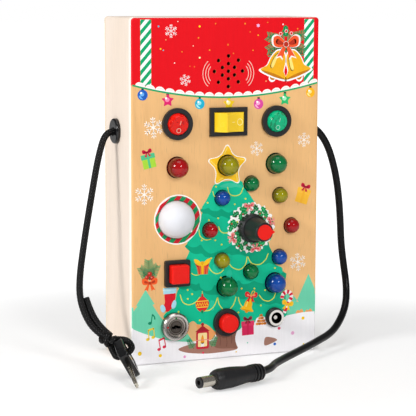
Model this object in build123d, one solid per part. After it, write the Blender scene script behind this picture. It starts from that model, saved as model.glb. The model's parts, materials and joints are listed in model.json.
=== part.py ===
from build123d import *
import os
from math import cos, pi, radians, sin, sqrt, tan

# Wooden busy board: a small plywood box whose front carries switches, lamps, buttons, a knob,
# a key switch and a power socket, with a key on a tether and a plug on a cord.
# Millimetres. +Z is up, the printed front faces -Y, and the origin is the middle of the base.

os.makedirs("parts", exist_ok=True)

# ------------------------------------------------------------------ driving dimensions

# Case
case_depth = 42.5
panel_thickness = 3.0        # front and back plywood
wall_thickness = 7.0         # side, top and bottom boards
corner_radius = 2.0
edge_round = 1.3             # roundover of the panels' outer edges

# Clearances
hole_gap = 0.1               # radial gap of a housing in its panel hole
screw_gap = 0.05             # radial gap of a screw, nut or shaft that is fixed in its hole
running_gap = 0.05           # radial gap of a pin that turns in its hole

# Rows and columns of the front, each row a step over the one below it
column_pitch = 28.0
column_margin = 25.0         # from the outer columns to the case's sides
bottom_row = 20.2
lower_lamp_step = 18.6
ring_step = 30.5
ring_radius = 23.5
upper_lamp_step = 10.2       # over the top of the lamp ring
switch_step = 22.5
speaker_step = 26.6
speaker_margin = 27.9        # from the speaker to the top of the case
lower_lamp_row = bottom_row + lower_lamp_step
ring_row = lower_lamp_row + ring_step
upper_lamp_row = ring_row + ring_radius + upper_lamp_step
switch_row = upper_lamp_row + switch_step
speaker_row = switch_row + speaker_step
case_width = 2 * (column_pitch + column_margin)
case_height = speaker_row + speaker_margin

# Places on the front, as (x, z)
speaker_at = (0.8, speaker_row)
red_rocker_at = (-column_pitch, switch_row)
yellow_rocker_at = (0.6, switch_row + 0.4)
green_rocker_at = (column_pitch, switch_row)
dome_at = (-column_pitch - 0.3, ring_row + 6.5)
ring_at = (column_pitch / 2, ring_row)
square_button_at = (-column_pitch, lower_lamp_row + 8.8)
round_button_at = (0.0, bottom_row - 0.7)
key_switch_at = (-29.4, bottom_row - 0.6)
socket_at = (column_pitch, bottom_row)

# Lamps
large_led_radius = 5.2
large_led_hole = 5.7
large_led_flange = 6.3
large_led_proud = 2.8        # height of the dome's centre above the panel
small_led_radius = 4.1
small_led_hole = 4.4
small_led_flange = 5.0
small_led_proud = 1.1
ring_count = 8
led_flange_height = 1.0
lead_radius = 0.3
lead_half_pitch = 1.27
lead_tail = 0.75             # what a lead shows behind the board
dome_base_radius = 9.8
dome_rise = 9.6
dome_wall = 1.2
dome_hole = 10.1
dome_flange = 11.0
lamp_radius = 2.5
lamp_height = 8.5

# Rocker switches
housing_depth = 12.0         # behind the front face
bezel_height = 2.0
round_bezel_radius = 8.25
round_body_radius = 7.5
round_pivot_depth = 1.3      # pivot below the bezel's front
round_mouth_radius = 5.8
ball_gap = 0.26              # between the rocker's ball and its cavity
ball_inset = 0.2             # between the ball and the bezel's mouth
ball_face_height = 3.3       # the finger face above the pivot
ball_foot = 3.5
round_pin_radius = 0.8
round_pin_reach = 7.1
round_tilt = 11.0            # half of the travel
paddle_bezel = (21.0, 15.0)
paddle_body = (19.4, 12.8)
paddle_pivot_depth = 3.2
paddle_reach = 8.83
paddle_width = 10.0
paddle_cavity_gap = 0.27
paddle_side_gap = 0.2
paddle_ridge = (5.4, 7.3)
paddle_valley = 6.2
paddle_shoulder = (9.4, 2.5)
paddle_hip = (9.4, 1.38)
paddle_foot = (6.0, -2.2)
paddle_pin_radius = 0.9
paddle_pin_reach = 5.9
paddle_tilt = 14.0
pin_end_gap = 0.1
blade_width = 3.0
blade_thickness = 0.6
blade_length = 4.0
blade_offset = 3.5
tab_width = 2.0              # terminals of the key switch and the socket
socket_tab_offset = 2.4

# Push buttons
button_bezel_height = 2.4
button_cap = 9.8
button_gap = 0.3
button_top = 6.4
button_skirt = 1.0           # how deep the cap reaches behind the front face at rest
button_travel = 2.0
well_depth = 5.5
web_thickness = 1.2
chamber_radius = 4.0
housing_floor = 1.0
stem_radius = 2.0
stem_gap = 0.2
stem_head_radius = 2.7
stem_head_height = 1.0
stop_gap = 0.1
button_pin_offset = 2.5
cap_round = 0.9
square_bezel = 14.0
square_body = 12.0
round_bezel = 14.8
round_body = 12.0
spring_radius = 3.1
spring_wire = 0.6
spring_turns = 2.0

# Knob and potentiometer
knob_lift = 0.4
knob_height = 18.0
skirt_radius = 7.75
skirt_height = 5.0
skirt_bevel = 1.2
knob_foot_radius = 6.25
knob_top_radius = 5.0
knob_edge = 0.4
flute_count = 18
flute_radius = 0.9
flute_depth = 0.55
knob_recess_radius = 6.3
knob_recess_height = 3.2
knob_web = 1.3
cap_disc_radius = 4.0
cap_disc_depth = 1.5
cap_disc_proud = 0.5
pointer_tip = 5.8
pointer_half_width = 1.6
shaft_radius = 3.0
shaft_neck_radius = 2.0
bush_radius = 3.5
bush_height = 3.0
pot_radius = 8.0
pot_depth = 9.0
pot_bore_floor = 1.0
pot_pin_radius = 0.5
pot_pin_pitch = 5.0
pot_pin_drop = 5.0
pot_nut_across = 10.0
pot_nut_height = 2.0

# Key switch
key_bezel_radius = 7.4
key_bezel_height = 3.5
key_bezel_bevel = 0.8
key_dish_radius = 5.25
key_dish_depth = 0.5
key_barrel_radius = 6.0
key_cylinder_radius = 4.0
key_slot_depth = 9.0
key_slot_gap = 0.1           # between the blade and its slot, on each side
key_tail_radius = 4.8
key_tail_height = 1.0
key_tail_gap = 0.1
key_nut_across = 15.0
key_nut_height = 3.0

# Power socket
socket_flange_radius = 5.2
socket_flange_height = 1.8
socket_body_radius = 4.0
socket_ring_radius = 4.35
socket_ring_top = 3.5
socket_bore_radius = 3.0
socket_sleeve_wall = 0.4
socket_floor = 8.0
socket_pin_radius = 1.05
socket_pin_top = 2.0
socket_nut_across = 11.0
socket_nut_height = 2.0

# Circuit board
board_side_gap = 3.0         # to the side boards
board_low_step = 9.8         # over the bottom row
board_high_drop = 11.5       # under the switch row
board_thickness = 1.6
board_standoff = 12.25       # from the front panel's inner face
spacer_radius = 3.0
spacer_insets = ((7.0, -4.0), (7.0, -4.0), (4.0, 6.0), (3.0, 4.0))   # from the board's corners
board_screw_radius = 1.1
board_screw_head = 2.25
board_screw_head_height = 1.5
board_screw_length = 9.0
connector_height = 5.0       # along Z
connector_depth = 5.0        # behind the board
connector_width = 10.0
connector_inset = 1.0        # from the lower edge of the board
upper_connector_inset = 3.0  # from the upper edge of the board
speaker_connector_width = 6.0
chips = ((14.0, -11.3, 10.0, 7.0), (-18.0, -9.3, 8.0, 5.0))   # x, rise over the ring's row, width, height
chip_depth = 1.5
cans = ((-34.0, 20.7, 3.1, 7.0), (-14.0, 25.7, 3.1, 7.0), (-34.0, -5.3, 2.5, 6.0))   # x, rise, radius, depth
wire_radius = 0.6
wire_bend = 2.5
speaker_wire_offset = 2.0
speaker_wire_rise = 3.0
speaker_wire_run = 6.0
wire_rise = 3.35             # from the end of a switch terminal back to the plane of the wires

# Speaker
speaker_radius = 14.0
speaker_flange = 1.6
speaker_lip = 1.4
magnet_radius = 6.5
speaker_depth = 9.0
magnet_height = 3.0
basket_wall = 1.0
basket_corner = 0.6
basket_spread = 0.4
basket_seat = 0.5            # the basket's floor past the magnet, inside
magnet_seat = 1.5            # and outside
cone_wall = 0.5
cone_gap = 0.4               # between the cone and the front panel
cone_rim_gap = 0.2
cone_bend_radius = 11.0
cone_dip_radius = 3.0
cone_dip = 4.0
cone_cap_dip = 3.2
sound_hole_radius = 1.0
sound_rings = ((0.0, 1, 0.0), (3.93, 6, 30.0), (7.93, 8, 0.0))   # radius, count, first angle

# Battery box
cell_radius = 5.25
cell_length = 44.5
cell_tip = (1.9, 0.8)
cell_gap = 0.3
cell_spare = 2.0             # over the cells, under the door
cell_count = 3
contact_reach = 3.25         # from a cell's end to the tray's wall
cell_boss_gap = 0.2          # between the highest cell and the door screw's boss
tray_middle = 62.0
tray_wall = 2.0
tray_floor = 1.5
tray_flange = 3.0
tray_flange_thickness = 2.0
tray_foot_gap = 0.3          # between the lowest cell and the tray's lower wall
door_gap = 0.2
door_thickness = 2.5
door_screw_radius = 1.3
door_screw_head = 2.5
door_screw_head_height = 1.5
door_screw_length = 10.0
door_boss_radius = 2.4
door_boss_inset = 3.0        # from the tray's upper wall
cells_height = 2 * cell_count * cell_radius + (cell_count - 1) * cell_gap
tray_inner = (cell_length + 2 * contact_reach,
              tray_foot_gap + cells_height + cell_boss_gap + door_boss_radius + door_boss_inset)
tray_depth = 2 * cell_radius + cell_spare    # inside, from the floor to the rim
contact_thickness = 0.4
contact_radius = 3.6
contact_stud_radius = 1.4
coil_foot_radius = 3.2
coil_tip_radius = 2.0
battery_wire_inset = 4.0     # from the tray's walls

# Back panel screws
back_screw_radius = 1.25
back_screw_head = 2.4
back_screw_head_height = 1.5
back_screw_length = 13.0
back_screw_rows = (15.0, 90.0, 165.0)
pilot_spare = 0.5            # how much deeper a pilot hole is than its screw
screw_slot_width = 0.6
screw_slot_depth = 0.6

# Cords
cord_radius = 1.8            # braided tether
power_cord_radius = 2.0
exit_depth = 1.3
exit_height = 120.8
grommet_rim_radius = 6.65
grommet_rim_height = 2.1
grommet_rim_round = 1.0
grommet_neck_radius = 4.5
grommet_inner_radius = 6.0
grommet_inner_height = 1.5
grommet_bore_gap = 0.1
stopper_radius = 3.5
stopper_length = 6.0
stopper_round = 2.0
cord_start = 1.0             # the free cord starts this far inside the side's outer face
tether_knot_radius = 3.9
corner_share = 0.45          # part of the shorter run that a corner's arc may use

# Key
key_centre = (-63.3, -42.6, 9.72)
key_direction = (-0.15, -0.951, -0.274)
key_face = (0.85, -0.267, 0.468)
key_head_length = 16.0
key_head_width = 18.0
key_head_thickness = 5.0
key_head_corner = 4.0
key_head_edge = 0.8
key_eye_radius = 2.2
key_eye_back = 4.5
key_inset_depth = 0.3
key_inset_margin = 2.6
key_blade_width = 4.2
key_blade_thickness = 1.1
key_blade_step = 0.3         # how far the blade's middle strip stands out, and its outer ones back
key_blade_reach = 27.0
key_blade_root = 3.0
key_blade_bevel = 1.3
key_notches = ((12.5, 0.7), (15.5, 1.2), (18.5, 0.8), (21.5, 1.3))   # place along the blade, depth

# Plug
plug_tail = (-3.73, -75.78, 5.25)
plug_direction = (-0.968, -0.251, 0.0)
plug_outline = ((7.4, 4.25), (10.5, 4.2), (15.0, 4.75), (19.5, 5.2), (26.7, 5.25), (28.6, 4.9), (29.7, 4.4))
plug_relief = ((0.0, 3.4), (0.9, 4.1), (3.6, 4.5), (7.4, 4.45))
plug_groove_places = (1.9, 3.9, 5.9)
plug_groove_width = 0.8
plug_groove_radius = 3.5
barrel_radius = 2.75
barrel_neck_radius = 2.2     # inside the moulded body
barrel_hole_radius = 1.25
barrel_root = 23.7
barrel_mouth = 30.7
plug_length = 39.1
barrel_tip_ring = 1.0

# ------------------------------------------------------------------ shared places

front = -case_depth / 2                        # outer face of the front panel
front_inner = front + panel_thickness
back = case_depth / 2
back_inner = back - panel_thickness
inner_half_width = case_width / 2 - wall_thickness
board_front = -panel_thickness - board_standoff    # heights over the front face, so negative inside
board_back = board_front - board_thickness
board_back_y = front - board_back
board_half_width = inner_half_width - board_side_gap
board_low = bottom_row + board_low_step
board_high = switch_row - board_high_drop
spacer_places = [(side * (board_half_width - across), (board_high if up < 0 else board_low) + up)
                 for side, (across, up) in zip((-1, 1, -1, 1), spacer_insets)]


def at(place, height=0.0):
    """Plane over a place (x, z) of the front: local x right, y up, z outward."""
    x, z = place
    return Plane(origin=(x, front - height, z), x_dir=(1, 0, 0), z_dir=(0, -1, 0))


def back_at(x, z):
    """Plane on the back face, local z outward."""
    return Plane(origin=(x, back, z), x_dir=(-1, 0, 0), z_dir=(0, 1, 0))


def around(radius, count, first=0.0):
    """Places evenly spaced on a circle, as (x, z) offsets."""
    angles = [radians(first) + 2 * pi * index / count for index in range(count)]
    return [(radius * cos(angle), radius * sin(angle)) for angle in angles]


def shifted(place, offset):
    return (place[0] + offset[0], place[1] + offset[1])


# ------------------------------------------------------------------ shape helpers


def prism(outline, low, high):
    """A sketch made solid between two heights."""
    return Pos(0, 0, low) * extrude(outline, high - low, dir=(0, 0, 1))


def disc(radius, low, high):
    return prism(Circle(radius), low, high)


def block(x_range, y_range, z_range):
    """Box between pairs of coordinates."""
    ranges = (x_range, y_range, z_range)
    middle = [(low + high) / 2 for low, high in ranges]
    return Pos(*middle) * Box(*[high - low for low, high in ranges])


def turned(*corners):
    """Solid of revolution about local z, from its half section as (radius, height)."""
    return revolve(make_face(Plane.XZ * Polyline(*corners, close=True)), Axis.Z)


def hexagon(across_flats):
    return RegularPolygon(across_flats / sqrt(3), 6)


def screw(shank, head, head_height, length):
    """Slotted screw, its head's top at z = 0."""
    solid = disc(head, -head_height, 0) + disc(shank, -length, -head_height)
    return solid - prism(Rectangle(1.7 * head, screw_slot_width), -screw_slot_depth, 1)


def screw_hole(shank, head, head_height, length):
    """What a screw's seat and pilot hole take away."""
    seat = disc(head + screw_gap, -head_height, 1)
    return seat + disc(shank + screw_gap, -length - pilot_spare, 0)


def spring(radius, low, high):
    """Coil spring between two heights."""
    rise = high - low - spring_wire
    path = Pos(0, 0, low + spring_wire / 2) * Helix(rise / spring_turns, rise, radius)
    return sweep((path ^ 0) * Circle(spring_wire / 2), path)


def wire(points):
    """Insulated wire with equal bends."""
    if len(points) == 2:
        path = Polyline(*points)
    else:
        path = FilletPolyline(*points, radius=wire_bend)
    return sweep((path ^ 0) * Circle(wire_radius), path)


def corner_radii(points):
    """The largest arc that each corner of a cord's route leaves room for."""
    radii = []
    for before, corner, after in zip(points, points[1:], points[2:]):
        arriving = Vector(*corner) - Vector(*before)
        leaving = Vector(*after) - Vector(*corner)
        turn = radians(arriving.get_angle(leaving))
        radii.append(corner_share * min(arriving.length, leaving.length) / tan(turn / 2))
    return radii


def cord(name, points, thickness=cord_radius):
    """Round cord along straight runs joined by tangent arcs."""
    radii = corner_radii(points)
    path = FilletPolyline(*points, radius=radii)
    solid = sweep((path ^ 0) * Circle(thickness), path)
    expected = pi * thickness**2 * path.length
    print(name, "length", round(path.length, 1), "volume / expected", round(solid.volume / expected, 4))
    print(name, "radii", [round(radius, 1) for radius in radii])
    return solid


def save(node, *pieces):
    """Write one node, with each of its pieces as a separate solid."""
    solids = [solid for piece in pieces for solid in piece.solids()]
    export_step(solids[0] if len(solids) == 1 else Compound(solids), f"parts/{node}.step")


# ------------------------------------------------------------------ lamps


def led(place, radius, flange, proud):
    """Round-headed lamp behind a panel hole, its flange against the panel's inner face."""
    low = -panel_thickness - led_flange_height
    head_top = proud + radius
    sides = Polyline((0, head_top), (0, low), (flange, low), (flange, -panel_thickness),
                     (radius, -panel_thickness), (radius, proud))
    slant = radius / sqrt(2)
    head = ThreePointArc((radius, proud), (slant, proud + slant), (0, head_top))
    return at(place) * revolve(make_face(Plane.XZ * (sides + head)), Axis.Z)


def leads(place):
    """Both legs of a lamp, from its flange through the board."""
    top = -panel_thickness - led_flange_height
    return [at(shifted(place, (side * lead_half_pitch, 0))) * disc(lead_radius, board_back - lead_tail, top)
            for side in (-1, 1)]


ring_places = [shifted(ring_at, offset) for offset in around(ring_radius, ring_count, 90)]
large_led_places = {
    "large_led_red": [(-column_pitch, upper_lamp_row)],
    "large_led_yellow": [(0.3, upper_lamp_row)],
    "large_leds_green": [(column_pitch, upper_lamp_row), (0.0, lower_lamp_row)],
    "large_led_blue": [(column_pitch, lower_lamp_row)],
}
# The ring runs from its top towards the left.
ring_colours = ("green", "blue", "red", "yellow", "green", "blue", "red", "yellow")
small_led_places = {}
for place, colour in zip(ring_places, ring_colours):
    small_led_places.setdefault("small_leds_" + colour, []).append(place)

for node, places in large_led_places.items():
    save(node, *[led(place, large_led_radius, large_led_flange, large_led_proud) for place in places])
for node, places in small_led_places.items():
    save(node, *[led(place, small_led_radius, small_led_flange, small_led_proud) for place in places])

large_places = [place for places in large_led_places.values() for place in places]
lead_places = large_places + ring_places
save("led_leads", *[lead for place in lead_places for lead in leads(place)])


def cap_arc(base, rise, height=0.0):
    """Arc of a round cap's half section, from its edge to its top."""
    sphere = (base**2 + rise**2) / (2 * rise)
    half = base / 2
    return ThreePointArc((base, height), (half, height + rise - sphere + sqrt(sphere**2 - half**2)),
                         (0, height + rise))


def dome_diffuser():
    """Opal cap that stands through the panel, hollow, with a flange behind the panel."""
    low = -panel_thickness - led_flange_height
    inside = dome_base_radius - dome_wall
    outer = Polyline((inside, 0), (inside, low), (dome_flange, low), (dome_flange, -panel_thickness),
                     (dome_base_radius, -panel_thickness), (dome_base_radius, 0))
    crown = cap_arc(dome_base_radius, dome_rise)
    hollow = cap_arc(inside, dome_rise - dome_wall)
    axis_line = Polyline((0, dome_rise), (0, dome_rise - dome_wall))
    return revolve(make_face(Plane.XZ * (outer + crown + axis_line + hollow)), Axis.Z)


save("dome_diffuser", at(dome_at) * dome_diffuser())
lamp_top = board_front + lamp_height
save("dome_lamp", at(dome_at) * (disc(lamp_radius, board_front, lamp_top - lamp_radius)
                                 + Pos(0, 0, lamp_top - lamp_radius) * Sphere(lamp_radius)))

# ------------------------------------------------------------------ rocker switches

cross_rod = Rot(Y=90)            # turns a local z rod along local x
upright_rod = Rot(X=90)          # turns a local z rod along local y


def round_rocker(place):
    """Ball-shaped rocker in a round housing, at rest with its upper end raised."""
    pivot = bezel_height - round_pivot_depth
    ball = sqrt(round_mouth_radius**2 + round_pivot_depth**2) - ball_inset
    pin_hole = Cylinder(round_pin_radius + running_gap, 2 * (round_pin_reach + pin_end_gap))
    housing = disc(round_bezel_radius, 0, bezel_height) + disc(round_body_radius, -housing_depth, 0)
    housing -= Pos(0, 0, pivot) * (Sphere(ball + ball_gap) + cross_rod * pin_hole)
    rocker = Sphere(ball) & prism(Circle(2 * ball), -ball_foot, ball_face_height)
    rocker += cross_rod * Cylinder(round_pin_radius, 2 * round_pin_reach)
    return at(place, pivot) * Rot(X=round_tilt) * rocker, at(place) * housing


def paddle_rocker(place):
    """Rectangular rocker on an upright axis, at rest with its left end raised."""
    pivot = bezel_height - paddle_pivot_depth
    housing = prism(Rectangle(*paddle_bezel), 0, bezel_height)
    housing = fillet(housing.edges().group_by(Axis.Z)[-1], 0.6)
    housing += prism(Rectangle(*paddle_body), -housing_depth, 0)
    cavity = Cylinder(paddle_reach + paddle_cavity_gap, paddle_width + 2 * paddle_side_gap)
    cavity += Cylinder(paddle_pin_radius + running_gap, 2 * (paddle_pin_reach + pin_end_gap))
    housing -= Pos(0, 0, pivot) * upright_rod * cavity

    ridge_x, ridge_height = paddle_ridge
    half = [paddle_ridge, paddle_shoulder, paddle_hip, paddle_foot]
    outline = Polyline(*half, *[(-x, height) for x, height in reversed(half)])
    hollow = ThreePointArc((-ridge_x, ridge_height), (0, paddle_valley), (ridge_x, ridge_height))
    section = make_face(Plane.XZ * (outline + hollow))
    paddle = extrude(section, paddle_width / 2, both=True)
    paddle &= upright_rod * Cylinder(paddle_reach, 2 * paddle_width)
    paddle += upright_rod * Cylinder(paddle_pin_radius, 2 * paddle_pin_reach)
    return at(place, pivot) * Rot(Y=paddle_tilt) * paddle, at(place) * housing


for node, place in (("rocker_red", red_rocker_at), ("rocker_green", green_rocker_at)):
    rocker, housing = round_rocker(place)
    save(node, rocker)
    save(node + "_housing", housing)
rocker, housing = paddle_rocker(yellow_rocker_at)
save("rocker_yellow", rocker)
save("rocker_yellow_housing", housing)

# ------------------------------------------------------------------ push buttons


def square_outline(size):
    return RectangleRounded(size, size, 1.0)


def round_outline(size):
    return Circle(size / 2)


def push_button(place, outline, bezel, body):
    """Spring-loaded cap, its housing and its spring at the pressed length."""
    web_low = -well_depth - web_thickness
    chamber_low = -housing_depth + housing_floor
    housing = prism(outline(bezel), 0, button_bezel_height)
    housing = fillet(housing.edges().group_by(Axis.Z)[-1], 0.5)
    housing += prism(outline(body), -housing_depth, 0)
    housing -= prism(outline(button_cap + 2 * button_gap), -well_depth, button_bezel_height + 1)
    housing -= disc(stem_radius + stem_gap, web_low - 1, -well_depth + 1)
    housing -= disc(chamber_radius, chamber_low, web_low)

    cap = prism(outline(button_cap), -button_skirt, button_top)
    cap = fillet(cap.edges().group_by(Axis.Z)[-1], cap_round)
    head_top = web_low - stop_gap
    cap += disc(stem_radius, head_top - stem_head_height, -button_skirt)
    cap += disc(stem_head_radius, head_top - stem_head_height, head_top)
    coil = spring(spring_radius, -well_depth, -button_skirt - button_travel - stop_gap)
    return at(place) * cap, at(place) * housing, at(place) * coil


square_cap, square_housing, square_spring = push_button(
    square_button_at, square_outline, square_bezel, square_body)
round_cap, round_housing, round_spring = push_button(
    round_button_at, round_outline, round_bezel, round_body)
save("square_button", square_cap)
save("square_button_housing", square_housing)
save("round_button", round_cap)
save("round_button_housing", round_housing)
save("button_springs", square_spring, round_spring)

# ------------------------------------------------------------------ knob and potentiometer

knob_base = knob_lift
knob_top = knob_height
skirt_top = knob_base + skirt_height
cap_seat = knob_top - cap_disc_depth
bore_top = cap_seat - knob_web
cap_recess_radius = cap_disc_radius + screw_gap
shaft_bore = shaft_radius + screw_gap
knob = turned(
    (knob_recess_radius, knob_base), (skirt_radius, knob_base), (skirt_radius, skirt_top - skirt_bevel),
    (skirt_radius - skirt_bevel, skirt_top), (knob_foot_radius, skirt_top),
    (knob_top_radius, knob_top - knob_edge), (knob_top_radius - knob_edge, knob_top),
    (cap_recess_radius, knob_top), (cap_recess_radius, cap_seat), (0, cap_seat), (0, bore_top),
    (shaft_bore, bore_top), (shaft_bore, knob_recess_height), (knob_recess_radius, knob_recess_height))
flute_circle = skirt_radius + flute_radius - flute_depth
for x, y in around(flute_circle, flute_count):
    knob -= Pos(x, y, 0) * disc(flute_radius, 0, skirt_top + 1)
save("knob", at(ring_at) * knob)

cap_top = knob_top + cap_disc_proud
cap_disc = disc(cap_disc_radius, cap_seat + screw_gap, cap_top)
pointer = Polygon((cap_disc_radius - 0.6, -pointer_half_width), (pointer_tip, 0),
                  (cap_disc_radius - 0.6, pointer_half_width), align=None)
cap_disc += prism(pointer, knob_top + screw_gap, cap_top)
save("knob_cap", at(ring_at) * cap_disc)

pot_back = -panel_thickness - pot_depth
pot_bore = shaft_neck_radius + running_gap
pot = disc(pot_radius, pot_back, -panel_thickness) + disc(bush_radius, -panel_thickness, bush_height)
pot -= disc(pot_bore, pot_back + pot_bore_floor, bush_height + 1)
for step in (-1, 0, 1):
    pot += Pos(step * pot_pin_pitch, -pot_pin_drop, 0) * disc(pot_pin_radius, board_back - lead_tail, pot_back)
save("potentiometer_body", at(ring_at) * pot)

shaft_end = pot_back + pot_bore_floor + running_gap
shaft = disc(shaft_neck_radius, shaft_end, knob_recess_height)
shaft += disc(shaft_radius, knob_recess_height, bore_top - screw_gap)
save("potentiometer_shaft", at(ring_at) * shaft)

# ------------------------------------------------------------------ key switch

key_back = -housing_depth
key_bore = key_cylinder_radius + running_gap
dish_floor = key_bezel_height - key_dish_depth
barrel = turned(
    (key_bore, key_back), (key_barrel_radius, key_back), (key_barrel_radius, 0), (key_bezel_radius, 0),
    (key_bezel_radius, key_bezel_height - key_bezel_bevel),
    (key_bezel_radius - key_bezel_bevel, key_bezel_height), (key_dish_radius, key_bezel_height),
    (key_dish_radius, dish_floor), (key_bore, dish_floor))
save("key_switch_barrel", at(key_switch_at) * barrel)



def keyway(spare):
    """The blade's stepped cross-section, widened by a clearance on each side."""
    strip = key_blade_width / 3
    places = [Pos(side * strip, (1 - 2 * abs(side)) * key_blade_step, 0) for side in (-1, 0, 1)]
    parts = [place * Rectangle(strip + 2 * key_blade_step + 2 * spare, key_blade_thickness + 2 * spare)
             for place in places]
    return parts[0] + parts[1] + parts[2]


tail_top = key_back - key_tail_gap
cylinder = disc(key_cylinder_radius, tail_top, dish_floor)
cylinder += disc(key_tail_radius, tail_top - key_tail_height, tail_top)
cylinder -= prism(keyway(key_slot_gap), dish_floor - key_slot_depth, dish_floor + 1)
save("key_switch_cylinder", at(key_switch_at) * cylinder)

# ------------------------------------------------------------------ power socket

sleeve_radius = socket_bore_radius + socket_sleeve_wall
sleeve_seat = sleeve_radius + screw_gap
socket_back = -housing_depth
socket = disc(socket_flange_radius, 0, socket_flange_height) + disc(socket_body_radius, socket_back, 0)
socket = socket - disc(sleeve_seat, -socket_floor, socket_flange_height + 1)
save("jack_body", at(socket_at) * socket)

sleeve = turned(
    (socket_bore_radius, -socket_floor), (sleeve_radius, -socket_floor),
    (sleeve_radius, socket_flange_height), (socket_ring_radius, socket_flange_height),
    (socket_ring_radius, socket_ring_top), (socket_bore_radius, socket_ring_top))
socket_pin = disc(socket_pin_radius, -socket_floor, socket_pin_top)
save("jack_sleeve", at(socket_at) * sleeve, at(socket_at) * socket_pin)

# ------------------------------------------------------------------ nuts


def nut(place, across, hole, low, high):
    return at(place) * prism(hexagon(across) - Circle(hole + screw_gap), low, high)


save("panel_nuts",
     nut(ring_at, pot_nut_across, bush_radius, 0, pot_nut_height),
     nut(key_switch_at, key_nut_across, key_barrel_radius, -panel_thickness - key_nut_height, -panel_thickness),
     nut(socket_at, socket_nut_across, socket_body_radius,
         -panel_thickness - socket_nut_height, -panel_thickness))

# ------------------------------------------------------------------ speaker

flange_low = -panel_thickness - speaker_flange
speaker_back = -panel_thickness - speaker_depth
lip = speaker_radius - speaker_lip
basket_low = speaker_back + magnet_height
frame = turned(
    (speaker_radius, -panel_thickness), (speaker_radius, flange_low), (lip + basket_spread, flange_low),
    (magnet_radius + magnet_seat, basket_low), (magnet_radius, basket_low), (magnet_radius, speaker_back),
    (0, speaker_back), (0, basket_low + basket_wall), (magnet_radius + basket_seat, basket_low + basket_wall),
    (lip - basket_corner, flange_low), (lip, flange_low + basket_corner), (lip, -panel_thickness))
save("speaker_frame", at(speaker_at) * frame)

cone_rim = lip - cone_rim_gap
cone_top = -panel_thickness - cone_gap
cone = turned(
    (cone_rim, cone_top), (cone_rim, cone_top - cone_wall), (cone_bend_radius, cone_top - cone_wall),
    (cone_dip_radius, cone_top - cone_dip), (0, cone_top - cone_cap_dip), (0, cone_top - cone_cap_dip + cone_wall),
    (cone_dip_radius, cone_top - cone_dip + cone_wall), (cone_bend_radius, cone_top))
save("speaker_cone", at(speaker_at) * cone)

# ------------------------------------------------------------------ circuit board

upper_connectors = {place[0]: connector_width for place in (red_rocker_at, yellow_rocker_at, green_rocker_at)}
speaker_plug_x = column_pitch / 2
upper_connectors[speaker_plug_x] = speaker_connector_width
lower_connectors = {place[0]: connector_width for place in (key_switch_at, round_button_at, socket_at)}
upper_connector_top = board_high - upper_connector_inset
lower_connector_foot = board_low + connector_inset

board = block((-board_half_width, board_half_width), (board_back_y - board_thickness, board_back_y),
              (board_low, board_high))
for place in lead_places:
    for side in (-1, 1):
        board -= at(shifted(place, (side * lead_half_pitch, 0))) * disc(lead_radius + hole_gap, board_back - 1, 0)
for step in (-1, 0, 1):
    pin_place = shifted(ring_at, (step * pot_pin_pitch, -pot_pin_drop))
    board -= at(pin_place) * disc(pot_pin_radius + hole_gap, board_back - 1, 0)
button_pins = [shifted(square_button_at, (side * button_pin_offset, 0)) for side in (-1, 1)]
for place in button_pins:
    board -= at(place) * disc(pot_pin_radius + hole_gap, board_back - 1, 0)
for place in spacer_places:
    board -= at(place) * disc(board_screw_radius + screw_gap, board_back - 1, 0)
save("circuit_board", board)

screw_depth = board_screw_length - board_screw_head_height - board_thickness
spacers = []
board_screws = []
for place in spacer_places:
    bore = disc(board_screw_radius + screw_gap, board_front, board_front + screw_depth + pilot_spare)
    spacers.append(at(place) * (disc(spacer_radius, board_front, -panel_thickness) - bore))
    rear_plane = Plane(origin=(place[0], board_back_y + board_screw_head_height, place[1]),
                       x_dir=(-1, 0, 0), z_dir=(0, 1, 0))
    board_screws.append(rear_plane * screw(board_screw_radius, board_screw_head,
                                           board_screw_head_height, board_screw_length))
save("board_spacers", *spacers)
save("board_screws", *board_screws)


def on_board(x, z, width, height, depth):
    """Rectangular component on the back of the board."""
    return block((x - width / 2, x + width / 2), (board_back_y, board_back_y + depth),
                 (z - height / 2, z + height / 2))


def upright_can(x, z, radius, depth):
    """Round component standing on the back of the board."""
    return Plane(origin=(x, board_back_y, z), x_dir=(-1, 0, 0), z_dir=(0, 1, 0)) * disc(radius, 0, depth)


components = [on_board(x, upper_connector_top - connector_height / 2, width, connector_height, connector_depth)
              for x, width in upper_connectors.items()]
components += [on_board(x, lower_connector_foot + connector_height / 2, width, connector_height, connector_depth)
               for x, width in lower_connectors.items()]
components += [on_board(x, ring_row + rise, width, height, chip_depth)
               for x, rise, width, height in chips]
components += [upright_can(x, ring_row + rise, radius, depth) for x, rise, radius, depth in cans]
save("board_components", *components)

# ------------------------------------------------------------------ switch terminals and wires


def blades(place):
    """The two flat terminals behind a housing."""
    return [at(shifted(place, (side * blade_offset, 0)))
            * prism(Rectangle(blade_thickness, blade_width), -housing_depth - blade_length, -housing_depth)
            for side in (-1, 1)]


terminals = [blade for place in (red_rocker_at, yellow_rocker_at, green_rocker_at, round_button_at)
             for blade in blades(place)]
# The key switch and the socket carry their terminals at the rim, clear of what turns inside.
rim_offset = (key_tail_radius + key_barrel_radius) / 2
for place, offset in ((key_switch_at, rim_offset), (socket_at, socket_tab_offset)):
    terminals += [at(shifted(place, (side * offset, 0)))
                  * prism(Rectangle(blade_thickness, tab_width), -housing_depth - blade_length, -housing_depth)
                  for side in (-1, 1)]
terminals += [at(place) * disc(pot_pin_radius, board_back - lead_tail, -housing_depth) for place in button_pins]
save("switch_terminals", *terminals)

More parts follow.
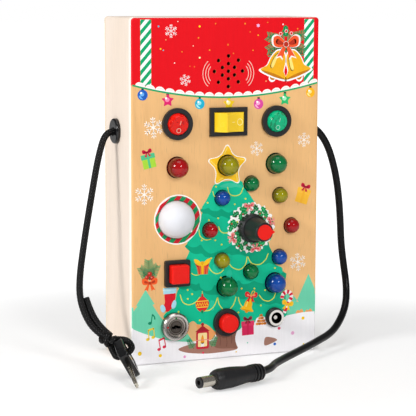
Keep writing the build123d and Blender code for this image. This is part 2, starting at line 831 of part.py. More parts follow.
blade_end_y = front + housing_depth + blade_length
wire_y = blade_end_y + wire_rise
wires = []
for place in (red_rocker_at, yellow_rocker_at, green_rocker_at):
    for side in (-1, 1):
        x = place[0] + side * blade_offset
        wires.append(wire([(x, blade_end_y, place[1]), (x, wire_y, place[1]), (x, wire_y, upper_connector_top)]))
for place, offset in ((key_switch_at, rim_offset), (round_button_at, blade_offset), (socket_at, socket_tab_offset)):
    for side in (-1, 1):
        x = place[0] + side * offset
        wires.append(wire([(x, blade_end_y, place[1]), (x, wire_y, place[1]), (x, wire_y, lower_connector_foot)]))
speaker_rear_y = front - speaker_back
for side in (-1, 1):
    start_x = speaker_at[0] + speaker_wire_offset * side
    end_x = speaker_plug_x + speaker_wire_offset * side
    high_y = wire_y + speaker_wire_rise
    wires.append(wire([(start_x, speaker_rear_y, speaker_at[1]), (start_x, high_y, speaker_at[1]),
                       (end_x, high_y, switch_row + speaker_wire_run),
                       (end_x, wire_y, upper_connector_top + speaker_wire_run),
                       (end_x, wire_y, upper_connector_top)]))

# ------------------------------------------------------------------ battery box

tray_rim_y = back_inner
tray_floor_y = tray_rim_y - tray_depth
tray_half_x = tray_inner[0] / 2
tray_low_z = tray_middle - tray_inner[1] / 2
tray_high_z = tray_middle + tray_inner[1] / 2
boss_z = tray_high_z - door_boss_inset
inside_x = (-tray_half_x, tray_half_x)
outside_x = (-tray_half_x - tray_wall, tray_half_x + tray_wall)
outside_z = (tray_low_z - tray_wall, tray_high_z + tray_wall)


def grown(limits, amount):
    return (limits[0] - amount, limits[1] + amount)


door_screw_size = (door_screw_radius, door_screw_head, door_screw_head_height, door_screw_length)
door_face_y = tray_rim_y + door_thickness
door_screw_plane = Plane(origin=(0, door_face_y, boss_z), x_dir=(-1, 0, 0), z_dir=(0, 1, 0))
tray = block(outside_x, (tray_floor_y - tray_floor, tray_rim_y), outside_z)
tray += block(grown(outside_x, tray_flange), (tray_rim_y - tray_flange_thickness, tray_rim_y),
              grown(outside_z, tray_flange))
tray -= block(inside_x, (tray_floor_y, tray_rim_y + 1), (tray_low_z, tray_high_z))
tray += Plane(origin=(0, tray_floor_y, boss_z), x_dir=(-1, 0, 0), z_dir=(0, 1, 0)) * disc(
    door_boss_radius, 0, tray_depth)
tray -= door_screw_plane * screw_hole(*door_screw_size)
save("battery_box", tray)

cell_y = tray_floor_y + cell_gap / 2 + cell_radius
cell_pitch = 2 * cell_radius + cell_gap
cell_rows = [tray_low_z + tray_foot_gap + cell_radius + index * cell_pitch for index in range(cell_count)]
tip_radius, tip_height = cell_tip
cells = []
contacts = []
end_plane_x = tray_half_x
for index, row in enumerate(cell_rows):
    facing = 1 if index % 2 == 0 else -1      # which way the cell's tip points
    plane = Plane(origin=(0, cell_y, row), x_dir=(0, 1, 0), z_dir=(facing, 0, 0))
    cell = disc(cell_radius, -cell_length / 2, cell_length / 2 - tip_height)
    cells.append(plane * (cell + disc(tip_radius, cell_length / 2 - tip_height, cell_length / 2)))
    tip_plate = disc(contact_radius, end_plane_x - contact_thickness, end_plane_x)
    tip_stud = disc(contact_stud_radius, cell_length / 2, end_plane_x - contact_thickness)
    foot_plate = disc(contact_radius, -end_plane_x, contact_thickness - end_plane_x)
    foot_coil = turned((0, contact_thickness - end_plane_x), (coil_foot_radius, contact_thickness - end_plane_x),
                       (coil_tip_radius, -cell_length / 2), (0, -cell_length / 2))
    contacts += [plane * (tip_plate + tip_stud), plane * (foot_plate + foot_coil)]
save("battery_cells", *cells)
save("battery_contacts", *contacts)

opening_x = grown(outside_x, door_gap)
opening_z = grown(outside_z, door_gap)
door = block(outside_x, (tray_rim_y, door_face_y), outside_z)
door -= door_screw_plane * screw_hole(*door_screw_size)
save("battery_door", door)
save("door_screw", door_screw_plane * screw(*door_screw_size))

for side in (-1, 1):
    x = side * (tray_half_x - battery_wire_inset)
    wires.append(wire([(x, tray_floor_y - tray_floor, tray_low_z + battery_wire_inset),
                       (x, board_back_y, tray_low_z + battery_wire_inset)]))
save("wires", *wires)

# ------------------------------------------------------------------ case boards


def case_panel(plane):
    """Plywood panel with rounded corners and a rounded outer edge, behind a plane on its outer face."""
    sheet = prism(RectangleRounded(case_width, case_height, corner_radius), -panel_thickness, 0)
    return plane * fillet(sheet.edges().group_by(Axis.Z)[-1], edge_round)


middle_height = case_height / 2
panel_holes = [(place, large_led_hole) for place in large_places]
panel_holes += [(place, small_led_hole) for place in ring_places]
panel_holes += [(dome_at, dome_hole), (ring_at, bush_radius + hole_gap),
                (red_rocker_at, round_body_radius + hole_gap), (green_rocker_at, round_body_radius + hole_gap),
                (round_button_at, round_body / 2 + hole_gap), (key_switch_at, key_barrel_radius + hole_gap),
                (socket_at, socket_body_radius + hole_gap)]
for radius, count, first in sound_rings:
    panel_holes += [(shifted(speaker_at, offset), sound_hole_radius) for offset in around(radius, count, first)]
front_panel = case_panel(at((0, middle_height)))
for place, radius in panel_holes:
    front_panel -= at(place) * disc(radius, -panel_thickness - 1, 1)
paddle_hole = [size + 2 * hole_gap for size in paddle_body]
front_panel -= at(yellow_rocker_at) * prism(Rectangle(*paddle_hole), -panel_thickness - 1, 1)
front_panel -= at(square_button_at) * prism(square_outline(square_body + 2 * hole_gap), -panel_thickness - 1, 1)
save("front_panel", front_panel)

back_screw_size = (back_screw_radius, back_screw_head, back_screw_head_height, back_screw_length)
back_screw_x = case_width / 2 - wall_thickness / 2
back_planes = [back_at(side * back_screw_x, row) for side in (-1, 1) for row in back_screw_rows]
back_cuts = [plane * screw_hole(*back_screw_size) for plane in back_planes]
back_panel = case_panel(back_at(0, middle_height))
back_panel -= block(opening_x, (back_inner - 1, back + 1), opening_z)
for cut in back_cuts:
    back_panel -= cut
save("back_panel", back_panel)
save("back_screws", *[plane * screw(*back_screw_size) for plane in back_planes])


def exit_plane(side):
    """Plane on a side board's outer face at its cord exit, local z outward."""
    return Plane(origin=(side * case_width / 2, exit_depth, exit_height), x_dir=(0, 1, 0), z_dir=(side, 0, 0))


for node, side in (("left_side", -1), ("right_side", 1)):
    outer = side * case_width / 2
    inner = side * inner_half_width
    side_board = block((min(outer, inner), max(outer, inner)), (front_inner, back_inner), (0, case_height))
    outer_edges = side_board.edges().filter_by(Axis.Y).group_by(Axis.X)[0 if side < 0 else -1]
    side_board = fillet(outer_edges, corner_radius)
    side_board -= exit_plane(side) * disc(grommet_neck_radius + screw_gap, -wall_thickness - 1, 1)
    for cut in back_cuts:
        side_board -= cut
    save(node, side_board)
inner_width = (-inner_half_width, inner_half_width)
save("top_board", block(inner_width, (front_inner, back_inner), (case_height - wall_thickness, case_height)))
save("bottom_board", block(inner_width, (front_inner, back_inner), (0, wall_thickness)))

# ------------------------------------------------------------------ grommets and stopper knots

inner_flange = -wall_thickness - grommet_inner_height
grommets = []
knots = []
for side, thickness in ((-1, cord_radius), (1, power_cord_radius)):
    bore = thickness + grommet_bore_gap
    grommet = turned(
        (bore, inner_flange), (grommet_inner_radius, inner_flange), (grommet_inner_radius, -wall_thickness),
        (grommet_neck_radius, -wall_thickness), (grommet_neck_radius, 0), (grommet_rim_radius, 0),
        (grommet_rim_radius, grommet_rim_height), (bore, grommet_rim_height))
    grommets.append(exit_plane(side) * fillet(grommet.edges().group_by(Axis.Z)[-1], grommet_rim_round))
    knot = disc(stopper_radius, inner_flange - stopper_length, inner_flange)
    knot = fillet(knot.edges().group_by(Axis.Z)[0], stopper_round)
    knots.append(exit_plane(side) * (knot + disc(thickness, inner_flange, -cord_start)))
save("grommets", *grommets)
save("stopper_knots", *knots)

# ------------------------------------------------------------------ key

key_plane = Plane(origin=key_centre, x_dir=key_direction, z_dir=key_face)
head = prism(RectangleRounded(key_head_length, key_head_width, key_head_corner),
             -key_head_thickness / 2, key_head_thickness / 2)
head = fillet(head.edges().group_by(Axis.Z)[-1] + head.edges().group_by(Axis.Z)[0], key_head_edge)
inset = RectangleRounded(key_head_length - 2 * key_inset_margin, key_head_width - 2 * key_inset_margin,
                         key_head_corner - key_inset_margin / 2)
for low, high in ((key_head_thickness / 2 - key_inset_depth, key_head_thickness),
                  (-key_head_thickness, key_inset_depth - key_head_thickness / 2)):
    head -= prism(inset, low, high)
head -= Pos(-key_eye_back, 0, 0) * disc(key_eye_radius, -key_head_thickness, key_head_thickness)

half_blade = key_blade_width / 2 + key_blade_step
blade_plane = Plane(origin=(0, 0, 0), x_dir=(0, 1, 0), z_dir=(1, 0, 0))
blade_length = key_blade_reach - key_blade_root
blade = blade_plane * prism(keyway(0.0), key_blade_root, key_blade_reach)
over_blade = 2 * key_blade_thickness
for side in (-1, 1):
    tip_corner = Polygon((key_blade_reach - key_blade_bevel, side * (half_blade + 0.1)),
                         (key_blade_reach + 0.1, side * (half_blade + 0.1)),
                         (key_blade_reach + 0.1, side * (half_blade - key_blade_bevel)), align=None)
    blade -= prism(tip_corner, -over_blade, over_blade)
for place, depth in key_notches:
    notch = Polygon((place - depth, -half_blade - 0.1), (place, -half_blade + depth),
                    (place + depth, -half_blade - 0.1), align=None)
    blade -= prism(notch, -over_blade, over_blade)
head -= blade_plane * prism(keyway(screw_gap), key_blade_root - screw_gap, key_head_length)
save("key_head", key_plane * head)
save("key_blade", key_plane * blade)


def by_key(along, across, over):
    """Point in the key's own directions: along the blade, across it, over its face."""
    point = key_plane.from_local_coords(Vector(along, across, over))
    return (point.X, point.Y, point.Z)


# ------------------------------------------------------------------ plug

plug_plane = Plane(origin=plug_tail, z_dir=plug_direction)
body_end = plug_outline[-1][0]
relief = [(radius, height) for height, radius in plug_relief]
shell = [(radius, height) for height, radius in plug_outline]
plug_body = turned((0, 0), *relief, *shell, (0, body_end))
for place in plug_groove_places:
    plug_body -= prism(Circle(3 * plug_groove_radius) - Circle(plug_groove_radius),
                       place - plug_groove_width / 2, place + plug_groove_width / 2)
plug_body -= disc(barrel_neck_radius + screw_gap, barrel_root - screw_gap, body_end + 1)
tip_low = plug_length - barrel_tip_ring
tip_ring = prism(Circle(barrel_radius) - Circle(barrel_hole_radius), tip_low, plug_length)
save("plug_body", plug_plane * plug_body, plug_plane * tip_ring)
plug_barrel = disc(barrel_neck_radius, barrel_root, body_end) + disc(barrel_radius, body_end, tip_low)
plug_barrel -= disc(barrel_hole_radius, barrel_mouth, tip_low + 1)
save("plug_barrel", plug_plane * plug_barrel)

# ------------------------------------------------------------------ cords

cord_exit_x = case_width / 2 - cord_start
tether_knot_at = (-69.1, -32.0, 17.7)
tether_route = [
    (-cord_exit_x, exit_depth, exit_height), (-56.3, exit_depth, exit_height), (-60.1, 0.0, 118.3), (-62.6, -1.6, 112.9),
    (-65.2, -3.3, 105.0), (-67.8, -5.2, 95.0), (-70.4, -6.9, 84.0), (-73.1, -8.6, 72.2), (-75.6, -10.4, 60.6),
    (-78.1, -12.8, 49.0), (-79.6, -16.2, 38.4), (-78.3, -20.6, 29.4), (-74.6, -25.8, 21.6), tether_knot_at]
plug_route = [
    (cord_exit_x, exit_depth, exit_height), (58.0, exit_depth, exit_height), (64.5, 1.7, 117.4), (69.8, 2.0, 110.4),
    (73.7, 2.6, 101.3), (76.8, 3.2, 90.6), (78.8, 3.6, 78.5), (80.0, 3.9, 66.0), (80.6, 3.8, 53.5),
    (82.0, 2.9, 41.0), (82.8, 0.6, 29.6), (80.0, -4.6, 20.0), (72.6, -11.8, 12.6), (62.9, -20.6, 8.3),
    (48.4, -31.7, 7.0), (33.8, -42.0, 5.7), (20.4, -52.0, 5.0), (9.4, -62.0, 4.8), (3.6, -70.6, 4.9), plug_tail]
tail_route = [(-75.6, -16.2, 36.7), (-74.2, -20.0, 29.7), (-70.9, -25.6, 22.6), (-67.0, -29.9, 19.6)]
loop_route = [(-68.2, -32.0, 17.7), by_key(-10.5, -7.0, 4.8), by_key(-key_eye_back, 0, 4.6),
              by_key(-key_eye_back, 0, -5.0), (-70.0, -31.6, 17.7)]

save("key_tether", cord("key_tether", tether_route))
save("plug_cord", cord("plug_cord", plug_route, power_cord_radius))
save("tether_loop", Pos(*tether_knot_at) * Rot(0, 90, 0) * Sphere(tether_knot_radius)
     + cord("tether_tail", tail_route) + cord("tether_loop", loop_route))
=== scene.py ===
import json
from math import cos, hypot, pi, radians, sin, sqrt

import bmesh
import bpy
from mathutils import Matrix, Vector
from mathutils.geometry import delaunay_2d_cdt

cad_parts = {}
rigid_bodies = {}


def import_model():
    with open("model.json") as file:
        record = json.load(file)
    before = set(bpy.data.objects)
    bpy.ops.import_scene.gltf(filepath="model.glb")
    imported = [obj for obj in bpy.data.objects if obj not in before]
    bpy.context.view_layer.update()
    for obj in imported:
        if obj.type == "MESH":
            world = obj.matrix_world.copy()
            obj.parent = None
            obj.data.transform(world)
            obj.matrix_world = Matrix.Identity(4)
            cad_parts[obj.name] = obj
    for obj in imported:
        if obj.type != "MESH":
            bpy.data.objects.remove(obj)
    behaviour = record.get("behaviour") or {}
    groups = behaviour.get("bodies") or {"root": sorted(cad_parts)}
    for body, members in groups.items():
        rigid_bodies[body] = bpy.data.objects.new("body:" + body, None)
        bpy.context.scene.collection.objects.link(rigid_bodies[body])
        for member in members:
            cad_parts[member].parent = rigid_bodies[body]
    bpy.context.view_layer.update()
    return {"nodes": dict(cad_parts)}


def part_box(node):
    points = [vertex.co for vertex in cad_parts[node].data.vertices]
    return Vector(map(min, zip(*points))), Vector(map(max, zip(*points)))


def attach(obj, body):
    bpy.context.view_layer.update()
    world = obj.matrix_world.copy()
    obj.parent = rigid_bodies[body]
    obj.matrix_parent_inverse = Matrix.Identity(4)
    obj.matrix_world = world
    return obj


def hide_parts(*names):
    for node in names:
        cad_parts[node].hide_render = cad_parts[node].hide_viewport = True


bl_info = {
    "name": "Wooden Busy Board",
    "version": (1, 0, 0),
    "blender": (4, 5, 0),
    "location": "View3D > Sidebar > Busy Board",
    "description": "Builds the finishes, print, cords and studio of a wooden busy board",
    "category": "Object",
}

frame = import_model()

MM = 0.001
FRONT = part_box("front_panel")[0][1] / MM          # outer face of the front panel, in mm
HALF_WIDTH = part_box("front_panel")[1][0] / MM
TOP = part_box("front_panel")[1][2] / MM
HEADER_RED = "E40818"
KEY_SWITCH_AT = (-29.4, 19.6)
SOCKET_AT = (28.0, 20.2)
# Turns what is made about the z axis, in mm, to face the front, in metres.
FACING = Matrix.Scale(MM, 4) @ Matrix(((1, 0, 0, 0), (0, 0, -1, 0), (0, 1, 0, 0), (0, 0, 0, 1)))
MINT = "6FD3AE"
SNOW = "F6F4F7"


# ---------------------------------------------------------------- places and colours

def linear(code):
    """Linear colour of a hexadecimal screen colour such as "E8202A"."""
    parts = [int(code[at:at + 2], 16) / 255 for at in (0, 2, 4)]
    return tuple(part / 12.92 if part <= 0.04045 else ((part + 0.055) / 1.055)**2.4 for part in parts)


def on_front(x, z, height=0.0):
    """Matrix from mm over a place of the front (right, up, outward) to metres."""
    axes = Matrix(((1, 0, 0, x), (0, 0, -1, FRONT - height), (0, 1, 0, z), (0, 0, 0, 1)))
    return Matrix.Scale(MM, 4) @ axes


# ---------------------------------------------------------------- shader maths

class Value:
    """Output socket of a finish that takes part in plain arithmetic."""

    def __init__(self, finish, socket):
        self.finish = finish
        self.socket = socket

    def step(self, operation, first, second):
        return self.finish.maths(operation, first, second)

    def __add__(self, other):
        return self.step("ADD", self, other)

    def __sub__(self, other):
        return self.step("SUBTRACT", self, other)

    def __rsub__(self, other):
        return self.step("SUBTRACT", other, self)

    def __mul__(self, other):
        return self.step("MULTIPLY", self, other)

    def __truediv__(self, other):
        return self.step("DIVIDE", self, other)

    def __gt__(self, other):
        return self.step("GREATER_THAN", self, other)

    __radd__ = __add__
    __rmul__ = __mul__


class Finish:
    """One material: constants on its shader, and nodes for what changes over the surface."""

    def __init__(self, name, colour, roughness, **constants):
        self.material = bpy.data.materials.new(name)
        self.material.use_nodes = True
        self.tree = self.material.node_tree
        self.shader = self.tree.nodes["Principled BSDF"]
        self.shader.inputs["Base Color"].default_value = (*colour, 1)
        self.shader.inputs["Roughness"].default_value = roughness
        self.material.diffuse_color = (*colour, 1)
        for socket, value in constants.items():
            self.shader.inputs[socket.replace("_", " ")].default_value = value

    def node(self, kind, settings=None, values=None, output=0):
        """Add a node with its settings first, then the values or links of its sockets."""
        node = self.tree.nodes.new(kind)
        for name, value in (settings or {}).items():
            if name == "stops":
                while len(node.color_ramp.elements) < len(value):
                    node.color_ramp.elements.new(0.5)
                for element, (position, colour) in zip(node.color_ramp.elements, value):
                    element.position = position
                    element.color = (*colour, 1)
            else:
                setattr(node, name, value)
        for name, value in (values or {}).items():
            if isinstance(value, Value):
                self.tree.links.new(value.socket, node.inputs[name])
            else:
                node.inputs[name].default_value = value
        return Value(self, node.outputs[output])

    def spot(self):
        """Object coordinates, in metres."""
        return self.node("ShaderNodeTexCoord", output="Object")

    def axis(self, name):
        """One of the object coordinates, in metres."""
        return self.node("ShaderNodeSeparateXYZ", None, {0: self.spot()}, name)

    def maths(self, operation, *values):
        return self.node("ShaderNodeMath", {"operation": operation}, dict(enumerate(values)))

    def places(self, stretch=(1, 1, 1)):
        """Object coordinates, stretched, in metres."""
        return self.node("ShaderNodeMapping", None, {"Vector": self.spot(), "Scale": stretch})

    def noise(self, scale, detail=2.0, stretch=(1, 1, 1), rough=0.5, twist=0.0):
        values = {"Vector": self.places(stretch), "Scale": scale, "Detail": detail,
                  "Roughness": rough, "Distortion": twist}
        return self.node("ShaderNodeTexNoise", None, values)

    def ramp(self, factor, *stops):
        """Colour ramp; a stop is a place and a colour, or a place and a grey."""
        coloured = [(place, shade if isinstance(shade, tuple) else (shade,) * 3) for place, shade in stops]
        return self.node("ShaderNodeValToRGB", {"stops": coloured}, {"Fac": factor})

    def mixed(self, factor, first, second, kind="MIX"):
        """Colour mix; both colours may be plain colours or links."""
        ends = [colour if isinstance(colour, Value) else (*colour, 1) for colour in (first, second)]
        settings = {"data_type": "RGBA", "blend_type": kind}
        return self.node("ShaderNodeMix", settings, {0: factor, 6: ends[0], 7: ends[1]}, output=2)

    def behind(self, place):
        """How many mm a point lies behind a plane across the front."""
        return (self.axis("Y") - place * MM) * 1000

    def away(self, x, z):
        """Distance in mm from a line through a place of the front, straight into the case."""
        values = {"Vector": self.spot(), "Location": (-x * MM, 0, -z * MM), "Scale": (1, 0, 1)}
        flat = self.node("ShaderNodeMapping", None, values)
        return self.node("ShaderNodeVectorMath", {"operation": "LENGTH"}, {0: flat}, "Value") * 1000

    def attribute(self, name, output="Color"):
        return self.node("ShaderNodeAttribute", {"attribute_name": name}, output=output)

    def feed(self, socket, value):
        self.tree.links.new(value.socket, self.shader.inputs[socket])
        return self

    def relief(self, height, depth, strength=1.0):
        """Bump of a height between 0 and 1 that is depth metres deep."""
        values = {"Height": height, "Distance": depth, "Strength": strength}
        return self.feed("Normal", self.node("ShaderNodeBump", None, values))


# ---------------------------------------------------------------- making pieces

def add_piece(name, mesh, finishes, body="root", slot=None):
    """A shown piece at the origin that rides on a body."""
    piece = bpy.data.objects.new(name, mesh)
    bpy.context.scene.collection.objects.link(piece)
    for finish in finishes:
        mesh.materials.append(finish.material)
    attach(piece, body)
    return piece


def round_over(mesh, angle=35):
    """Smooth shading that keeps the edges sharper than an angle in degrees."""
    mesh.shade_smooth()
    mesh.set_sharp_from_angle(angle=radians(angle))
    return mesh


def turned(name, profile, segments=48, matrix=None, shade=None):
    """Solid of revolution about local z; profile corners are (radius, height) from the outer pole inwards."""
    mesh = bmesh.new()
    # depth: how much painted rim shade a lens finish gives each ring; nought when not given.
    depth = mesh.verts.layers.float.new("depth")
    rings = []
    for step, (radius, height) in enumerate(profile):
        count = 1 if radius == 0 else segments
        ring = [mesh.verts.new((radius * cos(2 * pi * k / segments), radius * sin(2 * pi * k / segments), height))
                for k in range(count)]
        for vert in ring:
            vert[depth] = shade[step] if shade else 0.0
        rings.append(ring)
    for first, second in zip(rings, rings[1:]):
        for k in range(segments):
            after = (k + 1) % segments
            corners = [first[k % len(first)], second[k % len(second)], second[after % len(second)],
                       first[after % len(first)]]
            face = list(dict.fromkeys(corners))
            if len(face) > 2:
                mesh.faces.new(face)
    bmesh.ops.recalc_face_normals(mesh, faces=mesh.faces)
    if matrix:
        mesh.transform(matrix)
    data = bpy.data.meshes.new(name)
    mesh.to_mesh(data)
    mesh.free()
    return round_over(data)


def dot_shape(name, height, segments):
    """A printed dot of 1 mm across, in metres about the origin."""
    profile = [(0.0, height), (0.5, height), (0.5, -0.02), (0.0, -0.02)]
    return turned(name, profile, segments, FACING)


def polar(radius, angle, x=0.0, z=0.0):
    """Place at a distance and an angle in degrees from another place."""
    return x + radius * cos(radians(angle)), z + radius * sin(radians(angle))


def arc(radius, first, last, steps, x=0.0, z=0.0):
    """Points of an arc between two angles in degrees."""
    return [polar(radius, first + (last - first) * k / steps, x, z) for k in range(steps + 1)]


def smooth(points, closed=True, steps=5):
    """Points of a smooth line through the given ones."""
    count = len(points)
    at = (lambda k: points[k % count]) if closed else (lambda k: points[max(0, min(count - 1, k))])
    line = []
    for k in range(count if closed else count - 1):
        before, start, end, after = at(k - 1), at(k), at(k + 1), at(k + 2)
        for step in range(steps):
            t = step / steps
            line.append(tuple(
                0.5 * (2 * b + (c - a) * t + (2 * a - 5 * b + 4 * c - d) * t * t + (3 * b - a - 3 * c + d) * t**3)
                for a, b, c, d in zip(before, start, end, after)))
    return line if closed else line + [tuple(points[-1])]


def ribbon(line, width):
    """Outline of a band of a width along an open line."""
    left, right = [], []
    for k, (x, z) in enumerate(line):
        ahead = line[min(k + 1, len(line) - 1)]
        behind = line[max(k - 1, 0)]
        dx, dz = ahead[0] - behind[0], ahead[1] - behind[1]
        half = width / 2 / max(hypot(dx, dz), 1e-9)
        left.append((x - dz * half, z + dx * half))
        right.append((x + dz * half, z - dx * half))
    return left + right[::-1]


def between(outline, low, high):
    """Outline cut off below one height and above another."""
    for limit, sign in ((low, 1), (high, -1)):
        kept = []
        for (x1, z1), (x2, z2) in zip(outline, outline[1:] + outline[:1]):
            inside = sign * (z1 - limit) >= 0
            if inside:
                kept.append((x1, z1))
            if inside != (sign * (z2 - limit) >= 0):
                kept.append((x1 + (x2 - x1) * (limit - z1) / (z2 - z1), limit))
        outline = kept
    return outline


def area(outline):
    return sum(a[0] * b[1] - b[0] * a[1] for a, b in zip(outline, outline[1:] + outline[:1])) / 2


class Print:
    """Flat ink in thin closed plates, each with its own tint; later levels lie over earlier ones."""

    BASE = -0.02
    FILM = 0.02
    LEVEL = 0.006

    def __init__(self):
        self.points = []
        self.faces = []
        self.tints = []
        self.at(0, 0)

    def at(self, x, z, size=1.0, turn=0.0, wide=1.0):
        """Put the shapes that follow at a place, at a size and turned by degrees."""
        c, s = cos(radians(turn)) * size, sin(radians(turn)) * size
        self.spot = lambda p: (x + c * wide * p[0] - s * p[1], z + s * wide * p[0] + c * p[1])
        return self

    def shape(self, tint, level, outline, holes=()):
        """A plate with an outline; what lies in a hole's outline is left out."""
        rings = [[self.spot(point) for point in ring] for ring in (outline, *holes)]
        rings = [[Vector(point) for point in (ring if area(ring) > 0 else ring[::-1])] for ring in rings]
        corners = [point for ring in rings for point in ring]
        starts = [sum(len(ring) for ring in rings[:k]) for k in range(len(rings))]
        loops = [list(range(start, start + len(ring))) for start, ring in zip(starts, rings)]
        spots, _, cells, _, _, sources = delaunay_2d_cdt(corners, [], loops, 1, 1e-4)
        kept = [cell for cell, source in zip(cells, sources) if list(source) == [0]]
        used = sorted({corner for cell in kept for corner in cell})
        place = {corner: len(self.points) + k for k, corner in enumerate(used)}
        count = len(used)
        for height in (self.BASE, self.FILM + self.LEVEL * level):
            self.points += [(*spots[corner], height) for corner in used]
        faces, sides = [], set()
        for cell in kept:
            low = [place[corner] for corner in cell]
            faces += [tuple(low[::-1]), tuple(corner + count for corner in low)]
            sides |= set(zip(low, low[1:] + low[:1]))
        faces += [(a, b, b + count, a + count) for a, b in sorted(sides) if (b, a) not in sides]
        self.faces += faces
        self.tints += [linear(tint)] * len(faces)
        return self

    def disc(self, tint, level, x, z, radius, squash=1.0, count=20):
        outline = [(px, z + (pz - z) * squash) for px, pz in arc(radius, 0, 360, count, x, z)[:-1]]
        return self.shape(tint, level, outline)

    def line(self, tint, level, width, *points):
        return self.shape(tint, level, ribbon(points, width))

    def blob(self, tint, level, *points, steps=4):
        return self.shape(tint, level, smooth(points, steps=steps))

    def box(self, tint, level, x1, z1, x2, z2):
        return self.shape(tint, level, [(x1, z1), (x2, z1), (x2, z2), (x1, z2)])

    def piece(self, name, body="root", node=None):
        """Finished piece, flat on the front, or laid over the surface of a node."""
        mesh = bpy.data.meshes.new(name)
        mesh.from_pydata(self.points, [], self.faces)
        layer = mesh.color_attributes.new("tint", "FLOAT_COLOR", "CORNER")
        for polygon, tint in zip(mesh.polygons, self.tints):
            for corner in polygon.loop_indices:
                layer.data[corner].color = (*tint, 1)
        if node:
            surface = frame["nodes"][node]
            for vert in mesh.vertices:
                x, z, height = vert.co
                start = Vector((x * MM, (FRONT - 60) * MM, z * MM))
                hit, spot, _, _ = surface.ray_cast(start, Vector((0, 1, 0)))
                if not hit:
                    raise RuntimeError(f"{name} reaches past {node}")
                vert.co = (x * MM, spot.y - height * MM, z * MM)
        else:
            mesh.transform(on_front(0, 0))
        return add_piece(name, mesh, [finishes["ink"]], body, None if node else "birch_ply")


# ---------------------------------------------------------------- motifs of the print

def snowflake(ink, x, z, size, tint="FFFFFF", level=2, turn=0.0):
    for arm in range(6):
        ink.at(x, z, size / 2, turn + 60 * arm)
        ink.line(tint, level, 0.085, (0.0, 0.0), (0.0, 1.0))
        for reach, length in ((0.42, 0.26), (0.7, 0.24)):
            for side in (-1, 1):
                ink.line(tint, level, 0.075, (0, reach), (side * length, reach + length * 0.8))
    ink.at(0, 0)


def star(ink, x, z, radius, tint, level, turn=0.0, inner=0.5, points=5):
    outline = [point for k in range(points) for point in (
        polar(1, 90 + 360 * k / points), polar(inner, 90 + 360 * (k + 0.5) / points))]
    ink.at(x, z, radius, turn).shape(tint, level, outline)
    ink.at(0, 0)


def bulb(ink, x, z, radius, tint, shine, starry=False):
    """A hanging ornament: a ball or a plump star under a dark cap."""
    ink.at(x, z, radius)
    ink.box("20302C", 2, -0.24, 0.85, 0.24, 1.3)
    ink.shape("20302C", 2, ribbon(arc(0.16, 0, 350, 10, 0, 1.42), 0.08))
    if starry:
        plump = [polar(reach, 90 + 36 * k) for k, reach in enumerate((1.15, 0.66) * 5)]
        ink.blob(tint, 3, *plump, steps=3)
    else:
        ink.disc(tint, 3, 0, 0, 1)
        ink.blob(shine, 4, (-0.75, -0.15), (-0.5, -0.62), (0.1, -0.8), (-0.2, -0.45), (-0.5, -0.1))
    ink.disc(shine, 5, -0.1, 0.15, 0.42, 0.9, 12)
    ink.disc("FFFFFF", 6, -0.3, 0.4, 0.2, 1, 10)
    ink.at(0, 0)


def bow(ink, x, z, size, tint, fold, level, turn=0.0):
    ink.at(x, z, size, turn)
    for side in (-1, 1):
        ink.blob(tint, level, (0, 0), (side * 0.55, 0.62), (side * 1.0, 0.5), (side * 0.95, -0.05), (side * 0.5, -0.2))
        ink.blob(fold, level + 1, (side * 0.2, 0.08), (side * 0.6, 0.36), (side * 0.72, 0.1), (side * 0.4, -0.02))
        ink.shape(tint, level, [(0, 0), (side * 0.25, -0.1), (side * 0.75, -0.9), (side * 0.42, -0.8),
                                (side * 0.25, -1.0)])
    ink.disc(fold, level + 2, 0, 0.02, 0.2, 1, 10)
    ink.at(0, 0)


def gift(ink, x, z, width, height, wrap, lid, band, turn=0.0, ribbon_tint="C8143C", fold="8E0E2E", level=4):
    ink.at(x, z, 1, turn)
    half = width / 2
    ink.box(wrap, level, -half * 0.92, -height / 2, half * 0.92, height * 0.2)
    ink.box(lid, level + 1, -half, height * 0.16, half, height / 2)
    ink.box(band, level + 2, -half * 0.16, -height / 2, half * 0.16, height / 2)
    ink.at(0, 0)
    up = radians(90 + turn)
    top = height / 2 + width * 0.12
    bow(ink, x + top * cos(up), z + top * sin(up), width * 0.34, ribbon_tint, fold, level + 3, turn)


def bell(ink, x, z, size, level=4, turn=0.0, gold="F2B21E", dark="C67C10", light="FFE27A"):
    ink.at(x, z, size, turn)
    ink.disc(dark, level, 0, -0.92, 0.22, 1, 14)
    ink.blob(gold, level + 1, (-0.95, -0.78), (-0.6, -0.35), (-0.52, 0.2), (-0.3, 0.68), (0, 0.82), (0.3, 0.68),
             (0.52, 0.2), (0.6, -0.35), (0.95, -0.78), (0, -0.9))
    ink.blob(dark, level + 2, (-0.86, -0.78), (0, -0.7), (0.86, -0.78), (0, -0.9))
    ink.blob(light, level + 2, (-0.36, -0.3), (-0.3, 0.3), (-0.12, 0.58), (-0.12, 0.2), (-0.18, -0.35))
    ink.at(0, 0)


def leaf(ink, x, z, size, turn, tint="0E8A4C", vein="5CC08C", level=3):
    """A holly leaf with its points along the edge and a vein."""
    ink.at(x, z, size, turn)
    upper = [(0, 0), (0.18, 0.3), (0.36, 0.2), (0.5, 0.38), (0.66, 0.2), (0.8, 0.24), (1.0, 0)]
    ink.shape(tint, level, upper + [(px, -pz) for px, pz in upper[-2:0:-1]])
    ink.line(vein, level + 1, 0.06, (0.15, 0), (0.8, 0))
    ink.at(0, 0)


def sprig(ink, x, z, size, turn, tint="157A4E", level=3):
    """A pine twig: a stem and its needles."""
    ink.at(x, z, size, turn)
    ink.line("7A5230", level, 0.06, (0, 0), (1, 0.04))
    for k in range(9):
        reach = 0.1 + 0.1 * k
        length = 0.34 - 0.018 * k
        for side in (-1, 1):
            ink.line(tint if k % 2 else "2FA06A", level + 1, 0.055, (reach, 0.03), (reach + 0.16, 0.03 + side * length))
    ink.at(0, 0)


# ---------------------------------------------------------------- settings

def colour_setting(name, default, description):
    return bpy.props.FloatVectorProperty(name=name, default=linear(default), subtype="COLOR", min=0, max=1,
                                         description=description)


